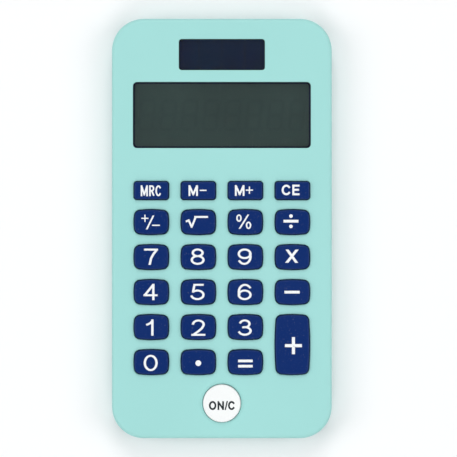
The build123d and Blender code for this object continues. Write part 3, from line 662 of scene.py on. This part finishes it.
# ---------------------------------------------------------------- legends
# A glyph is a list of strokes in a unit box. A stroke is a list of points and arcs; an arc is
# (centre x, centre y, radius x, radius y, start degrees, end degrees).
RING = [[(0.5, 0.5, 0.5, 0.5, 0, 360)]]
GLYPHS = {
    "0": RING,
    "1": [[(0.61, 0), (0.61, 1)], [(0.57, 0.93), (0.43, 0.81), (0.28, 0.74), (0.17, 0.71)]],
    "2": [
        [(0.5, 0.72, 0.46, 0.28, 168, -22), (0.8, 0.46), (0.56, 0.28), (0.28, 0.12), (0.1, 0.0)],
        [(0, 0), (1, 0)],
    ],
    "3": [
        [(0.48, 0.76, 0.4, 0.24, 158, -90), (0.36, 0.52)],
        [(0.48, 0.265, 0.5, 0.265, 88, -158)],
    ],
    "4": [[(0.7, 0.97), (0.02, 0.29)], [(0, 0.27), (1, 0.27)], [(0.74, 0), (0.74, 1)]],
    "5": [
        [(0.22, 1), (0.9, 1)],
        [(0.2, 0.97), (0.1, 0.52)],
        [(0.46, 0.3, 0.52, 0.3, 120, -158)],
    ],
    "6": [[(0.5, 0.3, 0.5, 0.3, 0, 360)], [(0.53, 0.5, 0.53, 0.5, 40, 200)]],
    "7": [[(0, 1), (1, 1)], [(0.96, 0.95), (0.7, 0.68), (0.5, 0.38), (0.4, 0.0)]],
    "8": [[(0.5, 0.77, 0.42, 0.23, 0, 360)], [(0.5, 0.27, 0.5, 0.27, 0, 360)]],
    "9": [[(0.5, 0.7, 0.5, 0.3, 0, 360)], [(0.47, 0.5, 0.53, 0.5, 220, 380)]],
    "M": [
        [(0, 0), (0, 1)],
        [(1, 0), (1, 1)],
        [(0.06, 0.94), (0.5, 0.08)],
        [(0.94, 0.94), (0.5, 0.08)],
    ],
    "R": [
        [(0, 0), (0, 1)],
        [(0.1, 1), (0.5, 1), (0.5, 0.75, 0.44, 0.25, 90, -90), (0.1, 0.5)],
        [(0.5, 0.45), (0.94, 0.04)],
    ],
    "C": [[(0.52, 0.5, 0.52, 0.5, 42, 318)]],
    "E": [[(0, 0), (0, 1)], [(0.1, 1), (1, 1)], [(0.1, 0.52), (0.9, 0.52)], [(0.1, 0), (1, 0)]],
    "N": [[(0, 0), (0, 1)], [(1, 0), (1, 1)], [(0.05, 0.93), (0.95, 0.07)]],
    "O": RING,
    "X": [[(0.02, 0), (0.98, 1)], [(0.06, 1), (0.94, 0)]],
    "/": [[(0, 0), (1, 1)]],
    "+": [[(0, 0.5), (1, 0.5)], [(0.5, 0), (0.5, 1)]],
    "-": [[(0, 0.5), (1, 0.5)]],
    "root": [
        [(0, 0.58), (0.1, 0.66)],
        [(0.1, 0.66), (0.235, 0.06)],
        [(0.25, 0.02), (0.44, 0.97)],
        [(0.42, 1), (1, 1)],
    ],
}

# Every legend: glyph, centre x and y from the key's centre, width, height and stroke, in mm.
DIGIT_SIZE = (3.85, 4.45, 0.56)
LEGENDS = {
    "key_memory_recall": [
        ("M", -1.9, -0.07, 1.98, 3.0, 0.46),
        ("R", 0.16, -0.07, 1.5, 3.0, 0.46),
        ("C", 1.92, -0.07, 1.62, 3.0, 0.46),
    ],
    "key_memory_minus": [("M", -1.39, -0.02, 2.6, 2.95, 0.54), ("-", 1.31, 0.04, 1.9, 0.36, 0.36)],
    "key_memory_plus": [("M", -1.55, 0.0, 2.65, 2.95, 0.54), ("+", 1.1, 0.1, 2.0, 2.0, 0.36)],
    "key_clear_entry": [("C", -1.7, 0.15, 2.5, 2.92, 0.58), ("E", 0.95, 0.15, 2.0, 2.92, 0.58)],
    "key_sign": [
        ("+", -1.72, 1.02, 1.95, 2.0, 0.33),
        ("/", -0.33, -0.1, 2.1, 3.8, 0.46),
        ("-", 1.27, -0.88, 2.2, 0.36, 0.36),
    ],
    "key_root": [("root", -0.4, 0.03, 6.1, 3.3, 0.56)],
    "key_percent": [
        ("O", -1.75, 1.08, 1.5, 2.05, 0.42),
        ("O", 0.86, -0.88, 1.5, 2.05, 0.42),
        ("/", -0.4, 0.1, 2.6, 3.9, 0.44),
    ],
    "key_divide": [
        ("-", -0.4, 0.25, 4.1, 0.8, 0.8),
        ("dot", -0.4, 1.64, 1.0, 1.0, 1.0),
        ("dot", -0.4, -1.17, 1.0, 1.0, 1.0),
    ],
    "key_7": [("7", -0.07, 0.1, *DIGIT_SIZE)],
    "key_8": [("8", -0.18, 0.12, *DIGIT_SIZE)],
    "key_9": [("9", -0.2, 0.12, *DIGIT_SIZE)],
    "key_multiply": [("X", -0.15, 0.25, 3.1, 3.6, 0.74)],
    "key_4": [("4", -0.2, 0.05, *DIGIT_SIZE)],
    "key_5": [("5", -0.13, 0.05, *DIGIT_SIZE)],
    "key_6": [("6", -0.2, 0.05, *DIGIT_SIZE)],
    "key_minus": [("-", -0.1, 0.0, 4.2, 0.8, 0.8)],
    "key_1": [("1", -0.05, -0.1, *DIGIT_SIZE)],
    "key_2": [("2", 0.0, -0.13, *DIGIT_SIZE)],
    "key_3": [("3", -0.1, -0.1, *DIGIT_SIZE)],
    "key_0": [("0", -0.16, -0.2, *DIGIT_SIZE)],
    "key_point": [("dot", 0.0, -0.26, 1.6, 1.6, 1.6)],
    "key_equals": [("-", 0.0, 0.35, 4.0, 0.76, 0.76), ("-", 0.0, -1.08, 4.0, 0.76, 0.76)],
    "key_plus": [("+", 0.27, -0.26, 4.64, 4.67, 0.9)],
    "key_on_clear": [
        ("O", -2.52, -0.58, 2.05, 2.46, 0.5),
        ("N", -0.3, -0.58, 1.75, 2.4, 0.48),
        ("/", 1.2, -0.58, 0.85, 2.5, 0.36),
        ("C", 2.62, -0.58, 1.9, 2.46, 0.5),
    ],
}


def run_on(end, direction, ink):
    """How far a stroke runs past its end: more where it meets the top or base and is trimmed."""
    trimmed = len(end) == 2 and end[1] in (0, 1) and abs(direction.y) > 0.3
    return ink if trimmed else ink / 2


def trim(bm, bottom, top):
    """Cuts a stroke off square at the glyph's base line and top, and closes the cuts."""
    for level, side in ((bottom, -1.0), (top, 1.0)):
        cut = bmesh.ops.bisect_plane(
            bm,
            geom=bm.verts[:] + bm.edges[:] + bm.faces[:],
            plane_co=(0.0, level, 0.0),
            plane_no=(0.0, side, 0.0),
            clear_outer=True,
        )
        edges = [item for item in cut["geom_cut"] if isinstance(item, bmesh.types.BMEdge)]
        if edges:
            bmesh.ops.holes_fill(bm, edges=edges)


def trace(stroke, box, ink, step=0.6):
    """Points of a stroke's centre line in millimetres, evenly filled, and whether it closes."""
    centre_x, centre_y, width, height = box

    def place(u, v):
        return Vector((centre_x + (u - 0.5) * (width - ink), centre_y + (v - 0.5) * (height - ink)))

    corners = []
    for item in stroke:
        if len(item) == 2:
            corners.append(place(*item))
            continue
        u, v, radius_u, radius_v, start, end = item
        count = max(4, round(abs(end - start) / 10))
        for i in range(count + 1):
            angle = math.radians(start + (end - start) * i / count)
            corners.append(place(u + radius_u * math.cos(angle), v + radius_v * math.sin(angle)))
    closed = (corners[0] - corners[-1]).length < 1e-6
    if closed:
        return corners[:-1], True
    start = (corners[0] - corners[1]).normalized()
    finish = (corners[-1] - corners[-2]).normalized()
    corners[0] += start * run_on(stroke[0], start, ink)
    corners[-1] += finish * run_on(stroke[-1], finish, ink)
    points = [corners[0]]
    for before, after in zip(corners, corners[1:]):
        pieces = max(1, math.ceil((after - before).length / step))
        points += [before.lerp(after, i / pieces) for i in range(1, pieces + 1)]
    return points, False


def ink_stroke(bm, points, closed, ink, limits):
    """Adds one round-sectioned stroke, from a bevelled curve, within the glyph's height."""
    curve = bpy.data.curves.new("ink_stroke", "CURVE")
    curve.dimensions = "3D"
    curve.bevel_depth = ink / 2
    curve.bevel_resolution = 2
    curve.use_fill_caps = True
    spline = curve.splines.new("POLY")
    spline.points.add(len(points) - 1)
    for target, point in zip(spline.points, points):
        target.co = (point.x, point.y, 0.0, 1.0)
    spline.use_cyclic_u = closed
    holder = bpy.data.objects.new("ink_stroke", curve)
    mesh = bpy.data.meshes.new_from_object(holder)
    loose = bmesh.new()
    loose.from_mesh(mesh)
    bmesh.ops.remove_doubles(loose, verts=loose.verts, dist=1e-5)
    trim(loose, *limits)
    loose.to_mesh(mesh)
    loose.free()
    bm.from_mesh(mesh)
    bpy.data.objects.remove(holder)
    bpy.data.curves.remove(curve)
    bpy.data.meshes.remove(mesh)


def print_legend(key, marks, material):
    """Lays a legend's strokes on the key's dished top as a thin raised print."""
    settings = bpy.context.scene.calculator_print
    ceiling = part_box(key)[1].z + MM
    centre = middle_of(key)
    bm = bmesh.new()
    for glyph, x, y, width, height, ink in marks:
        stretch = settings.digit_stretch if glyph.isdigit() else 1.0
        if glyph == "dot":
            made = bmesh.ops.create_uvsphere(bm, u_segments=32, v_segments=8, radius=width / 2)
            bmesh.ops.translate(bm, vec=(x, y, 0.0), verts=made["verts"])
            continue
        box = (x / stretch, y, width / stretch, height)
        for stroke in GLYPHS[glyph]:
            points, closed = trace(stroke, box, ink)
            ink_stroke(bm, points, closed, ink, (y - height / 2, y + height / 2))
    bmesh.ops.remove_doubles(bm, verts=bm.verts, dist=1e-5)
    bmesh.ops.scale(bm, vec=(stretch * MM, MM, MM), verts=bm.verts)
    bmesh.ops.translate(bm, vec=centre, verts=bm.verts)
    top = BVHTree.FromObject(NODES[key], bpy.context.evaluated_depsgraph_get())
    down = Vector((0.0, 0.0, -1.0))
    half = settings.ink_thickness / 2
    for vert in bm.verts:
        hit = top.ray_cast(Vector((vert.co.x, vert.co.y, ceiling)), down)[0]
        if hit is None:
            raise RuntimeError(f"the legend of {key} runs past its top")
        lift = max(-1.0, min(1.0, vert.co.z / INK_ROLL))
        vert.co.z = hit.z + half * (INK_RISE + lift)
    piece = finish_mesh(bm, key.replace("key_", "legend_"), material, key)
    piece.data.polygons.foreach_set("use_smooth", [True] * len(piece.data.polygons))
    return piece


# ---------------------------------------------------------------- operators
class CALCULATOR_OT_case(Operator):
    """Gives the two case shells and the battery door their textured mint plastic"""

    bl_idname = "calculator.case"
    bl_label = "Case"

    def execute(self, context):
        base = tuple(context.scene.calculator_plastics.case)
        dress(moulded_plastic("mint_abs", base, gloss=0.46, wear_and_highlight=0.25), "front_case", "rear_case")
        dress(moulded_plastic("mint_abs_door", base, gloss=0.44, wear_and_highlight=0.3), "battery_door")
        return {"FINISHED"}


class CALCULATOR_OT_keys(Operator):
    """Gives the key caps their navy plastic and the round key its white plastic"""

    bl_idname = "calculator.keys"
    bl_label = "Key caps"

    def execute(self, context):
        plastics = context.scene.calculator_plastics
        navy = moulded_plastic(
            "navy_abs",
            tuple(plastics.keys),
            gloss=0.34,
            wear_and_highlight=0.3,
            # lighter navy on the key edges: rubbed wear and a painted highlight
            worn_and_highlit=(0.015, 0.06, 0.22),
            grain=plastics.grain_size * 0.7,
            drift=0.12,
            sheen=0.16,
        )
        white = moulded_plastic("white_abs", tuple(plastics.clear_key), gloss=0.36, wear_and_highlight=0.0)
        dress(navy, *(name for name in KEY_NODES if name != "key_on_clear"))
        dress(white, "key_on_clear")
        return {"FINISHED"}


class CALCULATOR_OT_legends(Operator):
    """Prints a legend on every key"""

    bl_idname = "calculator.legends"
    bl_label = "Key legends"

    def execute(self, context):
        inks = context.scene.calculator_print
        light = printed_ink_and_shade("light_ink", tuple(inks.light_ink))
        dark = printed_ink_and_shade("dark_ink", tuple(inks.dark_ink))
        for key, marks in LEGENDS.items():
            piece = print_legend(key, marks, dark if key == "key_on_clear" else light)
        return {"FINISHED"}


class CALCULATOR_OT_display(Operator):
    """Finishes the windows and the display panel, and adds its border, print with a painted shadow
    of the recess, and unlit segments
    """

    bl_idname = "calculator.display"
    bl_label = "Display"

    def segment(self, bm, x, y, reach, width, upright):
        """One pointed bar of a seven-segment digit."""
        verts = bmesh.ops.create_circle(bm, cap_ends=True, segments=6, radius=width / 2)["verts"]
        for vert in verts:
            vert.co.y += math.copysign((reach - width) / 2, vert.co.y)
        if not upright:
            turn = Matrix.Rotation(math.pi / 2, 3, "Z")
            bmesh.ops.rotate(bm, verts=verts, cent=(0.0, 0.0, 0.0), matrix=turn)
        bmesh.ops.translate(bm, verts=verts, vec=(x, y, 0.0))

    def execute(self, context):
        display = context.scene.calculator_display
        film_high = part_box("lcd_front_polariser")[1]
        window_low, window_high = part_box("display_window")
        # dark border: print whose visible band is a painted shadow of the window's recess
        border_shade = printed_ink_and_shade("border_ink_and_shade", tuple(display.border_shade), gloss=0.3)
        piece = border_print_and_shade(
            "display_border", "display_window", DISPLAY_LIP, display.border_width, border_shade
        )

        height = display.digit_height
        width = height * DIGIT_WIDTH
        bar = height * BAR_WIDTH
        pitch = width * DIGIT_PITCH
        middle_y = (window_low.y + window_high.y) / 2
        bm = bmesh.new()
        for i in range(display.digits):
            x = (i - (display.digits - 1) / 2) * pitch
            for row in (-1, 0, 1):
                self.segment(bm, x, row * (height - bar) / 2, width - bar * 1.2, bar, False)
            for side in (-1, 1):
                for row in (-0.5, 0.5):
                    place = (x + side * (width - bar) / 2, row * (height - bar) / 2)
                    self.segment(bm, *place, (height - bar) / 2 - bar * 0.25, bar, True)
            made = bmesh.ops.create_circle(bm, cap_ends=True, segments=16, radius=bar * 0.5)
            point = (x + width / 2 + bar * 0.55, -height / 2 + bar * 0.5, 0)
            bmesh.ops.translate(bm, vec=point, verts=made["verts"])
        slant = Matrix.Identity(4)
        slant[0][1] = math.tan(DIGIT_SLANT)
        bmesh.ops.transform(bm, matrix=slant, verts=bm.verts)
        bmesh.ops.translate(bm, vec=(0, middle_y, film_high.z + FILM_GAP), verts=bm.verts)
        thicken(bm, SEGMENT_THICKNESS)
        unlit = display_film("unlit_segments", tuple(display.segments), gloss=0.34)
        piece = finish_mesh(bm, "display_segments", unlit, CASE_BODY)

        dress(clear_acrylic(), "display_window", "solar_window")
        dress(display_film("front_film", tuple(display.film)), "lcd_front_polariser")
        dress(display_film("rear_film", (0.16, 0.19, 0.17), gloss=0.3), "lcd_reflector")
        dress(panel_glass(), "lcd_front_glass", "lcd_rear_glass")
        dress(zebra_rubber(), "zebra_strip")
        return {"FINISHED"}


class CALCULATOR_OT_solar(Operator):
    """Finishes the solar cell and its foam pad, and adds a dark border in its window, a painted
    shadow of the recess
    """

    bl_idname = "calculator.solar"
    bl_label = "Solar cell"

    def execute(self, context):
        dress(solar_silicon(), "solar_cell")
        dress(soft_rubber("black_foam", (0.03, 0.03, 0.032), 0.85, 0.0003), "solar_cell_pad")
        # painted shadow: a near-black band where the window's recess is shaded
        border_shade = printed_ink_and_shade("solar_shadow_ink", (0.003, 0.005, 0.012), gloss=0.3)
        piece = border_print_and_shade("solar_border", "solar_window", SOLAR_LIP, SOLAR_SHADOW_BAND, border_shade)
        return {"FINISHED"}


class CALCULATOR_OT_back(Operator):
    """Finishes the feet and the screws and adds the blank label"""

    bl_idname = "calculator.back"
    bl_label = "Back"

    def execute(self, context):
        dress(soft_rubber("black_rubber", (0.018, 0.018, 0.02), 0.72), "rubber_feet")
        steel = plated_metal("screw_nickel", (0.5, 0.5, 0.5), gloss=0.3)
        dress(steel, "case_screws", "board_screws", "battery_door_screw")
        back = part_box("rear_case")[0].z
        bm = bmesh.new()
        corners = flat_rectangle(bm, (0.0, 0.0, back + LABEL_SEAT), *LABEL_SIZE)
        round_corners(bm, corners, LABEL_CORNER)
        thicken(bm, LABEL_THICKNESS)
        piece = finish_mesh(bm, "rating_label", label_foil(), CASE_BODY)
        return {"FINISHED"}


class CALCULATOR_OT_electronics(Operator):
    """Finishes the board, its contacts and its small parts"""

    bl_idname = "calculator.electronics"
    bl_label = "Electronics"

    def execute(self, context):
        dress(board_laminate(), "circuit_board")
        carbon = soft_rubber("carbon_ink", (0.012, 0.012, 0.013), 0.6, 0.0002)
        dress(carbon, "carbon_contacts")
        dress(moulded_plastic("epoxy_black", (0.008, 0.008, 0.009), 0.25, 0.1), "chip_coating")
        dress(moulded_plastic("ceramic_tan", (0.36, 0.24, 0.13), 0.5, 0.2), "ceramic_capacitors")
        dress(moulded_plastic("led_clear", (0.75, 0.68, 0.4), 0.2, 0.0), "clamp_led")
        return {"FINISHED"}


class CALCULATOR_OT_domes(Operator):
    """Makes the rubber sheet's web, and a wall and a crown with its pill for each key"""

    bl_idname = "calculator.domes"
    bl_label = "Rubber domes"

    def web(self, level, silicone):
        """The sheet without its domes, cut off level at their feet and closed."""
        bm = bmesh.new()
        bm.from_mesh(NODES["rubber_dome_sheet"].data)
        bmesh.ops.remove_doubles(bm, verts=bm.verts, dist=1e-7)
        bmesh.ops.bisect_plane(
            bm,
            geom=bm.verts[:] + bm.edges[:] + bm.faces[:],
            plane_co=(0.0, 0.0, level),
            plane_no=(0.0, 0.0, 1.0),
            dist=1e-6,
            clear_outer=True,
        )
        open_edges = [edge for edge in bm.edges if edge.is_boundary]
        bmesh.ops.triangle_fill(bm, edges=open_edges, use_beauty=True)
        piece = finish_mesh(bm, "dome_web", silicone, CASE_BODY)
        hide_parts("rubber_dome_sheet", "carbon_pills")
        return piece

    def wall(self, key, centre, level, top, ceiling, silicone):
        """The dome's thin wall, turned from its section."""
        domes = bpy.context.scene.calculator_domes
        slope = (domes.foot_radius - domes.crown_radius) / (top - level)
        mouth = domes.crown_radius - domes.skin
        section = [
            (domes.foot_radius, level),
            (domes.crown_radius, top),
            (mouth, top),
            (mouth, ceiling),
            (mouth + slope * (ceiling - level), level),
        ]
        bm = bmesh.new()
        rim = [bm.verts.new((centre.x + radius, centre.y, height)) for radius, height in section]
        edges = [bm.edges.new(ends) for ends in zip(rim, rim[1:] + rim[:1])]
        bmesh.ops.spin(
            bm,
            geom=rim + edges,
            cent=centre,
            axis=(0.0, 0.0, 1.0),
            angle=2 * math.pi,
            steps=32,
            use_merge=True,
        )
        piece = finish_mesh(bm, key.replace("key_", "dome_wall_"), silicone, CASE_BODY)
        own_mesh(piece)
        return piece

    def crown(self, key, centre, top, ceiling, silicone, carbon):
        """The dome's solid crown with the carbon pill under it, which goes down with the key."""
        domes = bpy.context.scene.calculator_domes
        bm = bmesh.new()
        discs = (
            (domes.crown_radius - domes.skin - CROWN_GAP, ceiling, top, 0),
            (domes.pill_radius, ceiling - domes.pill_thickness, ceiling + PILL_BOND, 1),
        )
        for radius, low, high, finish in discs:
            made = bmesh.ops.create_cone(
                bm, cap_ends=True, segments=32, radius1=radius, radius2=radius, depth=high - low
            )
            middle = (centre.x, centre.y, (low + high) / 2)
            bmesh.ops.translate(bm, vec=middle, verts=made["verts"])
            for vert in made["verts"]:
                for face in vert.link_faces:
                    face.material_index = finish
        piece = finish_mesh(bm, key.replace("key_", "dome_crown_"), silicone, key)
        piece.data.materials.append(carbon)
        return piece

    def execute(self, context):
        domes = context.scene.calculator_domes
        silicone = soft_rubber("dome_silicone", (0.62, 0.64, 0.62), 0.5, 0.0003, 0.3)
        carbon = bpy.data.materials["carbon_ink"]
        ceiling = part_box("carbon_pills")[1].z
        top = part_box("rubber_dome_sheet")[1].z
        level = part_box("circuit_board")[1].z + domes.web_thickness
        pieces = [self.web(level, silicone)]
        for key in KEY_NODES:
            centre = middle_of(key)
            pieces.append(self.wall(key, centre, level, top, ceiling, silicone))
            pieces.append(self.crown(key, centre, top, ceiling, silicone, carbon))
        return {"FINISHED"}


class CALCULATOR_OT_power(Operator):
    """Finishes the button cell, its contacts, the wires and their solder"""

    bl_idname = "calculator.power"
    bl_label = "Power"

    def execute(self, context):
        cell = plated_metal("cell_nickel", (0.62, 0.62, 0.61), 0.24, (1, 1, 20), 500.0)
        dress(cell, "button_cell")
        strip = plated_metal("contact_strip", (0.6, 0.57, 0.52), 0.34, (8, 1, 1), 700.0)
        dress(strip, "battery_contact_positive", "battery_contact_negative")
        solder = plated_metal("solder_tin", (0.58, 0.59, 0.6), 0.36, (1, 1, 1), 800.0)
        dress(solder, "solder_joints")
        red = wire_insulation("red_insulation", (0.45, 0.012, 0.012))
        black = wire_insulation("black_insulation", (0.012, 0.012, 0.013))
        dress(red, "solar_wire_positive", "battery_wire_positive")
        dress(black, "solar_wire_negative", "battery_wire_negative")
        return {"FINISHED"}


class CALCULATOR_OT_stage(Operator):
    """Lays the floor, hangs the softboxes and sets the camera above the key side"""

    bl_idname = "calculator.stage"
    bl_label = "Stage"

    def soft_panel(self, stage, name, angle, share):
        """One soft panel that stands round the floor at an angle and faces its middle."""
        light = bpy.data.lights.new(name, "AREA")
        light.shape = "SQUARE"
        light.size = stage.panel_size
        light.energy = stage.panel_power * share
        holder = bpy.data.objects.new(name, light)
        holder.location = (
            stage.panel_distance * math.cos(angle),
            stage.panel_distance * math.sin(angle),
            stage.panel_height,
        )
        holder.rotation_euler = (-holder.location).to_track_quat("-Z", "Y").to_euler()
        bpy.context.scene.collection.objects.link(holder)

    def execute(self, context):
        scene = context.scene
        stage = scene.calculator_stage
        scene.view_settings.view_transform = "Standard"

        bm = bmesh.new()
        bmesh.ops.create_grid(bm, x_segments=8, y_segments=8, size=2.0)
        bmesh.ops.translate(bm, vec=(0.0, 0.0, CAD_LOW.z - 0.02 * MM), verts=bm.verts)
        mesh = bpy.data.meshes.new("floor")
        bm.to_mesh(mesh)
        bm.free()
        material, tree, shader = new_material("pale_floor", {"Specular IOR Level": 0.2})
        tone = use_group(
            tree, "tone_drift", Color=(*stage.floor, 1.0), Amount=0.015, Scale=4.0
        )
        paint(tree, shader, tone.outputs["Color"])
        roughen(tree, shader, noise(tree, 200.0), 0.75, 0.85)
        mesh.materials.append(material)
        floor = bpy.data.objects.new("floor", mesh)
        scene.collection.objects.link(floor)

        world = bpy.data.worlds.new("studio_walls")
        world.use_nodes = True
        background = world.node_tree.nodes["Background"]
        background.inputs["Color"].default_value = (0.97, 0.985, 1.0, 1.0)
        ray = put(world.node_tree, "LightPath")
        glossy = ray.outputs["Is Glossy Ray"]
        strength = remap(world.node_tree, glossy, 0.0, 1.0, stage.ambient, stage.mirrored)
        world.node_tree.links.new(strength, background.inputs["Strength"])
        scene.world = world

        shares = {"right_panel": 0.9, "head_panel": 1.15, "left_panel": 1.05, "foot_panel": 0.9}
        for i, (name, share) in enumerate(shares.items()):
            self.soft_panel(stage, name, i * math.pi / 2, share)

        camera = bpy.data.cameras.new("camera")
        camera.sensor_width = 36.0
        camera.lens = camera.sensor_width * stage.camera_distance / stage.field
        camera.clip_end = 10.0
        holder = bpy.data.objects.new("camera", camera)
        holder.location = (stage.off_centre, 0.0, FACE_Z + stage.camera_distance)
        scene.collection.objects.link(holder)
        scene.camera = holder
        return {"FINISHED"}


class CALCULATOR_PT_panel(Panel):
    """Lists the calculator's finishing steps"""

    bl_idname = "CALCULATOR_PT_panel"
    bl_label = "Calculator"
    bl_space_type = "VIEW_3D"
    bl_region_type = "UI"
    bl_category = "Calculator"

    def draw(self, context):
        for step in STEPS:
            self.layout.operator(step.bl_idname)
        for group in SETTINGS:
            box = self.layout.box()
            for name in group.__annotations__:
                box.prop(getattr(context.scene, SETTINGS[group]), name)


STEPS = (
    CALCULATOR_OT_stage,
    CALCULATOR_OT_case,
    CALCULATOR_OT_keys,
    CALCULATOR_OT_legends,
    CALCULATOR_OT_display,
    CALCULATOR_OT_solar,
    CALCULATOR_OT_back,
    CALCULATOR_OT_electronics,
    CALCULATOR_OT_domes,
    CALCULATOR_OT_power,
)
SETTINGS = {
    CalculatorPlastics: "calculator_plastics",
    CalculatorPrint: "calculator_print",
    CalculatorDisplay: "calculator_display",
    CalculatorDomes: "calculator_domes",
    CalculatorStage: "calculator_stage",
}


def register():
    for group, name in SETTINGS.items():
        bpy.utils.register_class(group)
        setattr(bpy.types.Scene, name, PointerProperty(type=group))
    for step in STEPS:
        bpy.utils.register_class(step)
    bpy.utils.register_class(CALCULATOR_PT_panel)


def unregister():
    bpy.utils.unregister_class(CALCULATOR_PT_panel)
    for step in reversed(STEPS):
        bpy.utils.unregister_class(step)
    for group, name in SETTINGS.items():
        delattr(bpy.types.Scene, name)
        bpy.utils.unregister_class(group)


def main():
    """Runs every step in order."""
    register()
    for step in STEPS:
        area, call = step.bl_idname.split(".")
        getattr(getattr(bpy.ops, area), call)()


if __name__ == "__main__":
    main()
